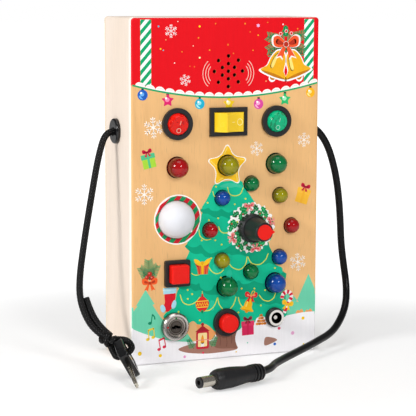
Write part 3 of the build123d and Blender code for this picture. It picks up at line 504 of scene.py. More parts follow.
class BoardColours(bpy.types.PropertyGroup):
    case_wood: colour_setting("Case wood", "F5E6D8", "Colour of the side, top and bottom boards")
    front_wood: colour_setting("Front wood", "EDBB7C", "Colour of the plywood front and back")
    red_caps: colour_setting("Red caps", "EA1A12", "Colour of the red buttons and of the knob's cap")
    yellow_rocker: colour_setting("Yellow rocker", "F6CC22", "Colour of the square rocker")
    red_lamp: colour_setting("Red lamps", "A6080E", "Colour of the red lamps")
    yellow_lamp: colour_setting("Yellow lamps", "938C06", "Colour of the yellow lamps")
    green_lamp: colour_setting("Green lamps", "00703A", "Colour of the green lamps")
    blue_lamp: colour_setting("Blue lamps", "0C469C", "Colour of the blue lamps")


class BoardSizes(bpy.types.PropertyGroup):
    print_margin: bpy.props.FloatProperty(
        name="Print margin", default=0.0008, min=0, max=0.01, subtype="DISTANCE",
        description="Bare wood between the print and the edge of the front")
    braid_pitch: bpy.props.FloatProperty(
        name="Braid pitch", default=0.0034, min=0.001, max=0.02, subtype="DISTANCE",
        description="Length along the tether over which its braid repeats")
    tether_diameter: bpy.props.FloatProperty(
        name="Tether diameter", default=0.0036, min=0.001, max=0.01, subtype="DISTANCE",
        description="Diameter of the braided tether")
    power_cord_diameter: bpy.props.FloatProperty(
        name="Power cord diameter", default=0.0040, min=0.001, max=0.01, subtype="DISTANCE",
        description="Diameter of the smooth power cord")
    stripe_pitch: bpy.props.FloatProperty(
        name="Stripe pitch", default=0.00507, min=0.002, max=0.02, subtype="DISTANCE",
        description="Height over which the candy stripes repeat")


def colours():
    return bpy.context.scene.board_colours


def sizes():
    return bpy.context.scene.board_sizes


# ---------------------------------------------------------------- finishes

finishes = {}


def wood(name, colour, grain, figure, flecks=0.05, roughness=0.5):
    """Planed wood with long grain, a slow figure and fine pores. grain and figure stretch the patterns."""
    finish = Finish(name, colour, roughness)
    fine = finish.noise(900, 3, grain, 0.6)
    slow = finish.noise(60, 3, figure, 0.55, 0.6)
    pores = finish.noise(2600, 1, grain)
    tone = finish.ramp(slow * 0.7 + fine * 0.3, (0.3, 0.86), (0.5, 0.965), (0.7, 1.0))
    warm = finish.ramp(slow, (0.35, (1.0, 0.955, 0.9)), (0.65, (1.0, 1.0, 1.0)))
    toned = finish.mixed(1.0, tuple(colour), tone, "MULTIPLY")
    warmed = finish.mixed(0.7, toned, warm, "MULTIPLY")
    dark = finish.ramp(pores, (0.27, 1.0 - flecks * 3), (0.36, 1.0))
    finish.feed("Base Color", finish.mixed(1.0, warmed, dark, "MULTIPLY"))
    finish.feed("Roughness", fine * 0.16 + (roughness - 0.08))
    return finish.relief(fine * 0.7 + pores * 0.3, 0.00006, 0.35)


# Where the print runs on over the rounded rim of the front, in mm.
RIM_WIDTH = 2.2
INK_DEPTH = 0.62
HEADER_FOOT = 145.7
FIR_TOP = 31.0
SNOW_TOP = 20.0
PLY_WAVE = 6.283          # of the plies, in radians per mm of depth


def front_plywood(name, colour):
    """Varnished plywood face, with the print's colours on its rounded rim, pale plies that also carry a painted
    highlight, and saw-cut hole walls that get darker inwards with painted shade.
    """
    finish = wood(name, colour, (1, 1, 0.05), (1, 1, 0.16))
    face = next(link for link in finish.tree.links if link.to_socket == finish.shader.inputs["Base Color"])
    face = Value(finish, face.from_socket)
    height = finish.axis("Z")
    depth = finish.behind(FRONT)
    reach = finish.maths("ABSOLUTE", finish.axis("X"))
    climb = finish.maths("ABSOLUTE", height - TOP * MM / 2)
    rim = finish.maths("MAXIMUM", reach > (HALF_WIDTH - RIM_WIDTH) * MM, climb > (TOP / 2 - RIM_WIDTH) * MM)
    inked = finish.mixed(height > HEADER_FOOT * MM, face, linear(HEADER_RED))
    inked = finish.mixed(height > FIR_TOP * MM, linear(MINT), inked)
    inked = finish.mixed(height > SNOW_TOP * MM, linear(SNOW), inked)
    plies = finish.maths("SINE", depth * PLY_WAVE)
    # The plies' pale tone, lifted nearly to white as a painted highlight along the rounded rim.
    pale = finish.ramp(plies * 0.5 + 0.5, (0.35, linear("FFFCF6")), (0.65, linear("FBEEDA")))
    edge = finish.mixed(depth > INK_DEPTH, inked, pale)
    # The hole walls' own wood tone, darkening inwards to near black as painted shade.
    hole_wall_and_shade = finish.ramp(depth * 0.33, (0.0, linear("D99C63")), (0.3, linear("8A5630")), (0.8, linear("1C100A")))
    wall = finish.mixed(rim, hole_wall_and_shade, edge)
    finish.feed("Base Color", finish.mixed(depth > 0.03, face, wall))
    return finish


def moulded(name, colour, roughness, texture=0.00002, scale=3500, **constants):
    """Moulded plastic: a fine spark-eroded texture and slow changes of gloss."""
    finish = Finish(name, colour, roughness, **constants)
    grain = finish.noise(scale, 2)
    slow = finish.noise(120, 2)
    finish.feed("Roughness", slow * 0.12 + (roughness - 0.06))
    tone = finish.ramp(slow, (0.3, 0.93), (0.7, 1.0))
    finish.feed("Base Color", finish.mixed(1.0, tuple(colour), tone, "MULTIPLY"))
    return finish.relief(grain, texture, 0.4)


def metal(name, colour, roughness, brushed=(1, 1, 1), toned=True):
    """Plated metal with fine brush lines and faint smears, which also tone its colour if wanted."""
    finish = Finish(name, colour, roughness, Metallic=1.0)
    lines = finish.noise(1500, 2, brushed)
    smears = finish.noise(180, 3)
    finish.feed("Roughness", smears * 0.14 + lines * 0.06 + (roughness - 0.08))
    if toned:
        tone = finish.ramp(smears, (0.3, 0.9), (0.7, 1.0))
        finish.feed("Base Color", finish.mixed(1.0, tuple(colour), tone, "MULTIPLY"))
    return finish.relief(lines, 0.000003, 0.2)


def plated_with_painted_light(name, colour, roughness, rings, middle, floor=None):
    """Metal plating with painted reflections in rings round its middle, and painted shade behind a floor height."""
    finish = metal(name, colour, roughness, toned=False)
    spread = finish.away(*middle)
    # Painted reflections: the tone over rings round the middle stands for light and dark mirrored in the plating.
    painted_light_and_shade = finish.ramp(spread * 0.1, *((radius / 10, linear(tint)) for radius, tint in rings))
    if floor is not None:
        # Painted shade: nearly black and not metallic behind the floor height, down in the recess.
        deep = finish.behind(FRONT - floor) > 0.0
        painted_light_and_shade = finish.mixed(deep, painted_light_and_shade, (0.004, 0.004, 0.004))
        finish.feed("Metallic", 1.0 - deep)
    finish.feed("Base Color", painted_light_and_shade)
    return finish


def lens(name, colour):
    """Tinted lamp plastic, with painted shade darkening it round the rim, where one looks through more of it."""
    finish = Finish(name, colour, 0.1, Coat_Weight=0.5, Coat_Roughness=0.04, Specular_IOR_Level=0.15)
    depth = finish.attribute("depth", "Fac")
    swirl = finish.noise(160, 1)
    # Painted shade: the tone falls off towards the rim, by the share each ring was given in its depth attribute.
    tone = finish.ramp(depth + swirl * 0.1, (0.1, 1.0), (0.5, 0.84), (0.8, 0.58), (1.0, 0.34))
    finish.feed("Base Color", finish.mixed(1.0, tuple(colour), tone, "MULTIPLY"))
    return finish


def clear_plastic(name, bright, dark):
    """Tinted see-through plastic under a glossy face: painted light and shade in blotches for what lies inside it, and
    painted shade where it sinks behind the front.
    """
    finish = Finish(name, bright, 0.08, Coat_Weight=0.12, Coat_Roughness=0.03, Specular_IOR_Level=0.2)
    inside = finish.noise(330, 1.5, (1, 1, 0.8), 0.5, 1.6)
    depth = finish.behind(FRONT)
    # Painted light and shade: bright and dark blotches standing for the lit and shaded parts inside.
    inner_light_and_shade = finish.ramp(inside, (0.36, dark), (0.46, bright))
    # Painted shade: darker the further the plastic lies behind the front, fully dark at 1 mm.
    finish.feed("Base Color", finish.mixed(finish.ramp(depth, (0.0, 0.0), (1.0, 1.0)), inner_light_and_shade, dark))
    return finish


def printed(name):
    """Ink on wood: its own tint, with a little of the grain and the weave of the screen in it."""
    finish = Finish(name, (0.8, 0.8, 0.8), 0.5, Specular_IOR_Level=0.12)
    tint = finish.attribute("tint")
    grain = finish.noise(700, 3, (1, 1, 0.07), 0.6)
    screen = finish.noise(2400, 1)
    tone = finish.ramp(grain * 0.7 + screen * 0.3, (0.32, 0.95), (0.6, 1.0))
    finish.feed("Base Color", finish.mixed(1.0, tint, tone, "MULTIPLY"))
    finish.feed("Roughness", grain * 0.15 + 0.42)
    return finish.relief(grain, 0.00002, 0.15)


def make_finishes():
    c = colours()
    finishes.update(
        front_wood=front_plywood("front_wood", c.front_wood),
        back_wood=wood("back_wood", linear("F2E0C6"), (1, 1, 0.05), (1, 1, 0.16)),
        case_wood=wood("case_wood", c.case_wood, (1, 0.9, 0.05), (1, 0.5, 0.08), 0.02),
        red=moulded("red_caps", c.red_caps, 0.3, Specular_IOR_Level=0.18),
        red_clear=clear_plastic("red_rocker", linear("E0180C"), linear("A40808")),
        green_clear=clear_plastic("green_rocker", linear("00B07A"), linear("008458")),
        yellow=moulded("yellow_rocker", c.yellow_rocker, 0.26, Specular_IOR_Level=0.35),
        black=moulded("black_plastic", linear("1C1C1E"), 0.4, 0.00005, Specular_IOR_Level=0.35),
        glossy_black=moulded("glossy_black", linear("0E0E10"), 0.14, 0.00001, 900),
        rubber=moulded("cord_sheath", linear("09090B"), 0.3, 0.00002, 1500, Specular_IOR_Level=0.22),
        opal=moulded("opal", linear("E0E1E6"), 0.42, 0.00001, 900, Specular_IOR_Level=0.25),
        lens_red=lens("lens_red", c.red_lamp), lens_yellow=lens("lens_yellow", c.yellow_lamp),
        lens_green=lens("lens_green", c.green_lamp), lens_blue=lens("lens_blue", c.blue_lamp),
        steel=metal("steel", linear("A9ABAF"), 0.34, (1, 1, 12)),
        nickel=metal("nickel", linear("CFC9BC"), 0.22, (8, 1, 1)),
        # Painted light and shade: these ring tints are painted reflections on the plating; the socket's dark band is
        # painted shade in its bore, and its bright rim is a painted highlight.
        lock_ring=plated_with_painted_light("lock_ring", linear("D8D2CC"), 0.2, (
            (4.0, "5C544E"), (4.35, "B8B0A8"), (5.05, "C8C0B8"), (5.3, "3C3630"), (5.6, "B4ACA6"), (6.3, "ECE8E4"),
            (6.9, "D4CEC8"), (7.4, "8A827C")), KEY_SWITCH_AT),
        lock_face=plated_with_painted_light("lock_face", linear("6E6864"), 0.26, (
            (2.2, "6A625C"), (3.3, "544C46"), (3.6, "A8A098"), (3.9, "4A423C")), KEY_SWITCH_AT, 2.6),
        socket_ring=plated_with_painted_light("socket_ring", linear("E4E0DC"), 0.16, (
            (1.0, "D8D4D0"), (1.2, "0A0A0A"), (3.0, "0A0A0A"), (3.15, "F0ECE8"), (4.2, "E0DCD8")), SOCKET_AT),
        laminate=moulded("board_laminate", linear("14562E"), 0.32, 0.00002, 900),
        component=moulded("component", linear("26282C"), 0.45),
        cell=moulded("cell_wrap", linear("2B7A4B"), 0.3, 0.00001, 900),
        sleeve=moulded("wire_sleeve", linear("B3261E"), 0.4),
        cone=moulded("cone_paper", linear("1B1B1B"), 0.7, 0.0001, 1400),
        ink=printed("ink"),
    )
    braid = Finish("braid", linear("0C0C0D"), 0.55, Specular_IOR_Level=0.15)
    ridge = braid.attribute("ridge", "Fac")
    fibres = braid.noise(5200, 1)
    # Painted light and shade: the strand tops painted light grey as a painted highlight, the grooves between strands
    # painted darker as painted shade.
    braid.feed("Base Color", braid.ramp(ridge * 0.75 + fibres * 0.25, (0.2, linear("040404")), (0.5, linear("1C1C1D")),
                                        (0.85, linear("5E5C5C"))))
    braid.feed("Roughness", fibres * 0.2 + 0.45)
    finishes["braid"] = braid.relief(fibres, 0.00004, 0.5)


NODE_FINISHES = {
    "front_wood": ("front_panel",), "back_wood": ("back_panel",),
    "case_wood": ("left_side", "right_side", "top_board", "bottom_board"),
    "steel": ("back_screws", "board_screws", "door_screw", "button_springs", "panel_nuts", "led_leads",
              "switch_terminals", "battery_contacts", "speaker_frame", "potentiometer_body", "potentiometer_shaft"),
    "black": ("battery_box", "battery_door", "rocker_red_housing", "rocker_yellow_housing",
              "rocker_green_housing", "square_button_housing", "round_button_housing", "knob", "jack_body",
              "stopper_knots", "board_spacers", "plug_body"),
    "cell": ("battery_cells",), "laminate": ("circuit_board",), "component": ("board_components",),
    "cone": ("speaker_cone",), "opal": ("dome_diffuser", "dome_lamp"), "sleeve": ("wires",),
    "red_clear": ("rocker_red",), "green_clear": ("rocker_green",), "yellow": ("rocker_yellow",),
    "red": ("square_button", "round_button", "knob_cap"),
    "lock_ring": ("key_switch_barrel",), "lock_face": ("key_switch_cylinder",), "socket_ring": ("jack_sleeve",),
    "glossy_black": ("grommets", "key_head"), "nickel": ("key_blade", "plug_barrel"),
    "lens_red": ("large_led_red", "small_leds_red"), "lens_yellow": ("large_led_yellow", "small_leds_yellow"),
    "lens_green": ("large_leds_green", "small_leds_green"), "lens_blue": ("large_led_blue", "small_leds_blue"),
    "braid": ("key_tether", "tether_loop"), "rubber": ("plug_cord",),
}


class BOARD_OT_finishes(bpy.types.Operator):
    """Give the case, controls, hardware and electronics their finishes"""
    bl_idname = "board.finishes"
    bl_label = "Finishes"

    def execute(self, context):
        make_finishes()
        for finish, nodes in NODE_FINISHES.items():
            for node in nodes:
                mesh = frame["nodes"][node].data
                mesh.materials.clear()
                mesh.materials.append(finishes[finish].material)
        missing = set(frame["nodes"]) - {node for nodes in NODE_FINISHES.values() for node in nodes}
        if missing:
            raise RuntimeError(f"no finish for {sorted(missing)}")
        return {"FINISHED"}


# ---------------------------------------------------------------- repeats and cords

def repeat_tree():
    """Geometry Nodes group: one shape on every point, widened in the front's plane by the point's size."""
    tree = bpy.data.node_groups.new("repeat_on_points", "GeometryNodeTree")
    for name, kind in (("Geometry", "NodeSocketGeometry"), ("Shape", "NodeSocketObject"),
                       ("Size", "NodeSocketFloat"), ("Material", "NodeSocketMaterial")):
        tree.interface.new_socket(name, in_out="INPUT", socket_type=kind)
    tree.interface.new_socket("Geometry", in_out="OUTPUT", socket_type="NodeSocketGeometry")
    nodes, links = tree.nodes, tree.links
    given, result = nodes.new("NodeGroupInput"), nodes.new("NodeGroupOutput")
    points = nodes.new("GeometryNodeMeshToPoints")
    shape = nodes.new("GeometryNodeObjectInfo")
    size = nodes.new("GeometryNodeInputNamedAttribute")
    size.data_type = "FLOAT"
    size.inputs["Name"].default_value = "size"
    scaled = nodes.new("ShaderNodeMath")
    scaled.operation = "MULTIPLY"
    spread = nodes.new("ShaderNodeCombineXYZ")
    spread.inputs["Y"].default_value = 1
    placed = nodes.new("GeometryNodeInstanceOnPoints")
    real = nodes.new("GeometryNodeRealizeInstances")
    painted = nodes.new("GeometryNodeSetMaterial")
    joins = (
        (given, "Geometry", points, "Mesh"), (given, "Shape", shape, "Object"), (size, "Attribute", scaled, 0),
        (given, "Size", scaled, 1), (scaled, 0, spread, "X"), (scaled, 0, spread, "Z"),
        (points, "Points", placed, "Points"), (shape, "Geometry", placed, "Instance"),
        (spread, "Vector", placed, "Scale"), (placed, "Instances", real, "Geometry"),
        (real, "Geometry", painted, "Geometry"), (given, "Material", painted, "Material"),
        (painted, "Geometry", result, "Geometry"))
    for source, output, target, entry in joins:
        links.new(source.outputs[output], target.inputs[entry])
    return tree


def repeated(name, shape, places, finish, spans=None, tints=None, slot=None):
    """A shape, in metres about the origin, repeated on places of the front, as one plain mesh."""
    tree = bpy.data.node_groups.get("repeat_on_points") or repeat_tree()
    collection = bpy.context.scene.collection.objects
    source = bpy.data.objects.new(name + "_shape", shape)
    mesh = bpy.data.meshes.new(name + "_points")
    mesh.from_pydata([(x * MM, FRONT * MM, z * MM) for x, z in places], [], [])
    span = mesh.attributes.new("size", "FLOAT", "POINT")
    tint = mesh.attributes.new("tint", "FLOAT_COLOR", "POINT")
    for k in range(len(places)):
        span.data[k].value = spans[k] if spans else 1.0
        tint.data[k].color = (*(linear(tints[k]) if tints else (1, 1, 1)), 1)
    holder = bpy.data.objects.new(name + "_holder", mesh)
    collection.link(source)
    collection.link(holder)
    modifier = holder.modifiers.new("repeat", "NODES")
    modifier.node_group = tree
    identifiers = {item.name: item.identifier for item in tree.interface.items_tree if item.in_out == "INPUT"}
    modifier[identifiers["Shape"]] = source
    modifier[identifiers["Size"]] = 1.0
    modifier[identifiers["Material"]] = finish.material
    depsgraph = bpy.context.evaluated_depsgraph_get()
    result = bpy.data.meshes.new_from_object(holder.evaluated_get(depsgraph))
    holder.modifiers.clear()
    for helper in (holder, source):
        bpy.data.objects.remove(helper)
    result.name = name
    result.materials.clear()
    return add_piece(name, result, [finish], slot=slot)


def scatter(name, dot, spots):
    """Printed dots; each spot is a place on the front, a diameter in mm and a tint."""
    across, up, spans, tints = zip(*spots)
    repeated(name, dot, list(zip(across, up)), finishes["ink"], spans, tints, slot="birch_ply")


def cord_curve(name, route):
    """Smooth line with the route's points, in mm, as its control points."""
    curve = bpy.data.curves.new(name, "CURVE")
    curve.dimensions = "3D"
    curve.resolution_u = 16
    spline = curve.splines.new("NURBS")
    spline.points.add(len(route) - 1)
    for point, place in zip(spline.points, route):
        point.co = (*(value * MM for value in place), 1)
    spline.order_u = 3
    spline.use_endpoint_u = True
    return curve


def centre_line(curve):
    """Points of the curve's own line."""
    holder = bpy.data.objects.new("route", curve)
    bpy.context.scene.collection.objects.link(holder)
    line_mesh = bpy.data.meshes.new_from_object(holder.evaluated_get(bpy.context.evaluated_depsgraph_get()))
    line = [vert.co.copy() for vert in line_mesh.vertices]
    bpy.data.objects.remove(holder)
    bpy.data.meshes.remove(line_mesh)
    return line


def even(line, step):
    """The same line with its points evenly spaced."""
    total = sum((b - a).length for a, b in zip(line, line[1:]))
    count = max(2, round(total / step))
    spaced, walked, k = [line[0]], 0.0, 0
    for number in range(1, count):
        goal = total * number / count
        while walked + (line[k + 1] - line[k]).length < goal:
            walked += (line[k + 1] - line[k]).length
            k += 1
        run = line[k + 1] - line[k]
        spaced.append(line[k] + run * ((goal - walked) / run.length))
    return spaced + [line[-1]]


BRAID_GROOVE = 0.93       # share of the radius between the strands
BRAID_RIDGE = 0.09        # added to it on top of a strand


def braided(mesh, line, radius, pitch, sides=24, strands=4, step=0.00022):
    """Adds a braided tube along a line to a bmesh: strands that cross each other both ways round."""
    shade = mesh.verts.layers.float.get("ridge") or mesh.verts.layers.float.new("ridge")
    line = even(line, step)
    along = (line[1] - line[0]).normalized()
    side = along.orthogonal().normalized()
    rings = []
    for k, spot in enumerate(line):
        ahead = (line[min(k + 1, len(line) - 1)] - line[max(k - 1, 0)]).normalized()
        side = (side - ahead * side.dot(ahead)).normalized()
        up = ahead.cross(side)
        ring = []
        for corner in range(sides):
            angle = 2 * pi * corner / sides
            run = 2 * pi * k * step / pitch
            ridge = (cos(strands * angle + run) * cos(strands * angle - run))**2
            reach = radius * (BRAID_GROOVE + BRAID_RIDGE * ridge)
            vert = mesh.verts.new(spot + (side * cos(angle) + up * sin(angle)) * reach)
            # Kept for the braid's painted highlight on the strand tops and painted shade in the grooves.
            vert[shade] = ridge
            ring.append(vert)
        rings.append(ring)
    for first, second in zip(rings, rings[1:]):
        for corner in range(sides):
            after = (corner + 1) % sides
            mesh.faces.new((first[corner], first[after], second[after], second[corner]))
    for ring, turn in ((rings[0], -1), (rings[-1], 1)):
        mesh.faces.new(ring[::turn])


def braided_piece(name, lines, radius, pitch, step=0.00022):
    mesh = bmesh.new()
    for line in lines:
        braided(mesh, line, radius, pitch, step=step)
    bmesh.ops.recalc_face_normals(mesh, faces=mesh.faces)
    data = bpy.data.meshes.new(name)
    mesh.to_mesh(data)
    mesh.free()
    return add_piece(name, round_over(data, 60), [finishes["braid"]], slot="braid")


# The same places as the cord routes of the frame, in mm.
TETHER_ROUTE = (
    (-52, 1.3, 120.8), (-56.3, 1.3, 120.8), (-60.1, 0.0, 118.3), (-62.6, -1.6, 112.9), (-65.2, -3.3, 105.0),
    (-67.8, -5.2, 95.0), (-70.4, -6.9, 84.0), (-73.1, -8.6, 72.2), (-75.6, -10.4, 60.6), (-78.1, -12.8, 49.0),
    (-79.6, -16.2, 38.4), (-78.3, -20.6, 29.4), (-74.6, -25.8, 21.6), (-69.1, -32.0, 17.7))
TAIL_ROUTE = ((-76.0, -16.2, 36.9), (-74.7, -20.2, 29.5), (-71.2, -26.0, 22.6), (-67.6, -30.3, 19.2))
PLUG_ROUTE = (
    (52, 1.3, 120.8), (58.0, 1.3, 120.8), (64.5, 1.7, 117.4), (69.8, 2.0, 110.4), (73.7, 2.6, 101.3),
    (76.8, 3.2, 90.6), (78.8, 3.6, 78.5), (80.0, 3.9, 66.0), (80.6, 3.8, 53.5), (82.0, 2.9, 41.0),
    (82.8, 0.6, 29.6), (80.0, -4.6, 20.0), (72.6, -11.8, 12.6), (62.9, -20.6, 8.3), (48.4, -31.7, 7.0),
    (33.8, -42.0, 5.7), (20.4, -52.0, 5.0), (9.4, -62.0, 4.8), (3.6, -70.6, 4.9), (-3.73, -75.78, 5.25))
KNOT_AT = Vector((-69.1, -32.0, 17.7))
KEY_AT = Vector((-63.3, -42.6, 9.72))
KEY_ALONG = Vector((-0.15, -0.951, -0.274))
KEY_FACE = Vector((0.85, -0.267, 0.468)).normalized()
KEY_EYE = -4.5
KNOT_RADIUS = 2.35        # of the wraps round the cord
KNOT_TURN = 52            # degrees from one point of the wraps to the next
KNOT_RISE = 0.42          # along the cord, from point to point
KNOT_LEAN = 0.9


def by_key(along, across, over):
    """Place in the key's own directions: along the blade, across it, over its face."""
    forward = (KEY_ALONG - KEY_FACE * KEY_ALONG.dot(KEY_FACE)).normalized()
    return tuple(KEY_AT + forward * along + KEY_FACE.cross(forward) * across + KEY_FACE * over)


class BOARD_OT_cords(bpy.types.Operator):
    """Make the braided key tether with its knot and loop, and the smooth plug cord"""
    bl_idname = "board.cords"
    bl_label = "Cords"

    def execute(self, context):
        radius = sizes().tether_diameter / 2
        pitch = sizes().braid_pitch
        tether_line = centre_line(cord_curve("tether_route", TETHER_ROUTE))
        tether = braided_piece("tether_cord", [tether_line], radius, pitch)
        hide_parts("key_tether")

        tail_line = centre_line(cord_curve("tail_route", TAIL_ROUTE))
        loop_route = ((-68.4, -32.0, 17.7), by_key(-11.4, -4.4, 2.4), by_key(-8.6, -2.8, 4.7),
                      by_key(KEY_EYE, -0.2, 4.6), by_key(KEY_EYE, 0.2, -4.6), by_key(-8.6, -3.0, -4.8),
                      (-69.8, -31.6, 17.7))
        loop_line = centre_line(cord_curve("loop_route", loop_route))
        into = (KNOT_AT - Vector(TETHER_ROUTE[-2])).normalized()
        across = into.cross(Vector((0, 0, 1))).normalized()
        over = into.cross(across)
        wraps = []
        for k in range(-7, 8):
            angle = radians(KNOT_TURN * k)
            lean = KNOT_LEAN * sin(angle * 0.5)
            place = KNOT_AT + across * KNOT_RADIUS * cos(angle) + over * KNOT_RADIUS * sin(angle)
            wraps.append(tuple(place + into * (KNOT_RISE * k + lean)))
        wrap_line = centre_line(cord_curve("wrap_route", wraps))
        knot = braided_piece("tether_knot", [tail_line, loop_line, wrap_line], radius, pitch, 0.00025)
        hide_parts("tether_loop")
        [tuple(spot) for spot in tether_line]

        curve = cord_curve("power_cord", PLUG_ROUTE)
        curve.bevel_depth = sizes().power_cord_diameter / 2
        curve.bevel_resolution = 5
        curve.use_fill_caps = True
        power = add_piece("power_cord", curve, [finishes["rubber"]], slot="cord_sheath")
        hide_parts("plug_cord")
        return {"FINISHED"}


# ---------------------------------------------------------------- lamps and marks

LAMP_COLUMNS = (-28.0, 0.0, 28.0)
RING_AT = (14.0, 69.3)
RING_RADIUS = 23.5
LARGE_LENS = 5.2
SMALL_LENS = 4.1
LARGE_HOLE = 5.7
SMALL_HOLE = 4.4
STAR_AT = (0.3, 102.6)


def ring_places(*angles):
    return [polar(RING_RADIUS, angle, *RING_AT) for angle in angles]


LAMPS = (
    ("large_led_red", "lens_red", "red_lens", LARGE_LENS, None),
    ("large_led_yellow", "lens_yellow", "yellow_lens", LARGE_LENS, None),
    ("large_leds_green", "lens_green", "green_lens", LARGE_LENS, ((28.0, 103.0), (0.0, 38.8))),
    ("large_led_blue", "lens_blue", "blue_lens", LARGE_LENS, None),
    ("small_leds_red", "lens_red", "red_lens", SMALL_LENS, ring_places(180, 0)),
    ("small_leds_yellow", "lens_yellow", "yellow_lens", SMALL_LENS, ring_places(225, 45)),
    ("small_leds_green", "lens_green", "green_lens", SMALL_LENS, ring_places(90, 270)),
    ("small_leds_blue", "lens_blue", "blue_lens", SMALL_LENS, ring_places(135, 315)),
)


class BOARD_OT_lamps(bpy.types.Operator):
    """Make the tinted lenses of the lamps, one shape repeated on the places of each colour"""
    bl_idname = "board.lamps"
    bl_label = "Lamps"

    def execute(self, context):
        for node, finish, slot, radius, places in LAMPS:
            low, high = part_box(node)
            places = places or [((low[0] + high[0]) / 2 / MM, (low[2] + high[2]) / 2 / MM)]
            crown = FRONT - low[1] / MM
            foot = FRONT - high[1] / MM
            proud = crown - radius
            flange = 6.3 if radius == LARGE_LENS else 5.0
            dome = [polar(radius, angle, 0.0, proud) for angle in range(90, -1, -6)]
            dome[0] = (0.0, crown)
            profile = dome + [(radius, foot + 1.0), (flange, foot + 1.0), (flange, foot), (0.0, foot)]
            # Painted rim shade per ring of the lens: none at the crown, full at the rim and below it.
            depth = [(r / radius)**2 for r, _ in dome[:-1]] + [1.0] * 5
            shape = turned(node + "_shape", profile, 40, FACING, depth)
            piece = repeated(node + "_lenses", shape, places, finishes[finish], slot=slot)
            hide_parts(node)
        return {"FINISHED"}


class BOARD_OT_marks(bpy.types.Operator):
    """Print the line and circle marks on the rockers and the colour dots on the key switch"""
    bl_idname = "board.marks"
    bl_label = "Switch marks"

    def execute(self, context):
        bpy.context.view_layer.update()
        row = 125.5
        for colour, column in (("red", LAMP_COLUMNS[0]), ("green", LAMP_COLUMNS[2])):
            ink = Print()
            tint = "E8B4A0" if colour == "red" else "9ADCC0"
            ink.line(tint, 1, 0.3, (column + 0.3, row - 0.3), (column + 0.75, row + 1.8))
            ink.shape(tint, 1, arc(1.25, 0, 360, 24, column - 0.25, row - 3.2)[:-1],
                      [arc(0.95, 0, 360, 24, column - 0.25, row - 3.2)[:-1]])
            ink.piece(f"{colour}_rocker_marks", f"{colour}_rocker", f"rocker_{colour}")
        ink = Print()
        row = 125.9
        ink.line("FFF2A0", 1, 0.26, (0.9, row), (2.5, row))
        ink.shape("FFF2A0", 1, [(x, row + (z - row) * 1.12) for x, z in arc(1.6, 0, 360, 28, 5.5, row)[:-1]],
                  [[(x, row + (z - row) * 1.12) for x, z in arc(1.3, 0, 360, 28, 5.5, row)[:-1]]])
        ink.piece("yellow_rocker_marks", "yellow_rocker", "rocker_yellow")
        ink = Print()
        x, z = (sum(corner[axis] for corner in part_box("key_switch_barrel")) / 2 / MM for axis in (0, 2))
        ink.disc("147A3A", 1, x, z + 4.66, 0.52, 1, 16)
        ink.disc("C4141C", 1, x - 4.66, z, 0.52, 1, 16)
        ink.piece("key_switch_dots", node="key_switch_barrel")
        return {"FINISHED"}


# ---------------------------------------------------------------- print on the front

SPEAKER_AT = (0.8, 152.1)
SPEAKER_RINGS = ((0.0, 1, 0.0), (3.93, 6, 30.0), (7.93, 8, 0.0))       # radius, count and first angle
SPEAKER_HOLES = [(SPEAKER_AT[0] + radius * cos(radians(first) + 2 * pi * k / count),
                  SPEAKER_AT[1] + radius * sin(radians(first) + 2 * pi * k / count))
                 for radius, count, first in SPEAKER_RINGS for k in range(count)]


def header_edge(x):
    """Height of the header's lower edge."""
    return 138.8 + 7.0 * ((x - 0.9) / 52.6)**2


def rounded(left, low, right, high, radius=1.2):
    corners = ((right - radius, high - radius, 0), (left + radius, high - radius, 90),
               (left + radius, low + radius, 180), (right - radius, low + radius, 270))
    return [point for x, z, first in corners for point in arc(radius, first, first + 90, 4, x, z)]


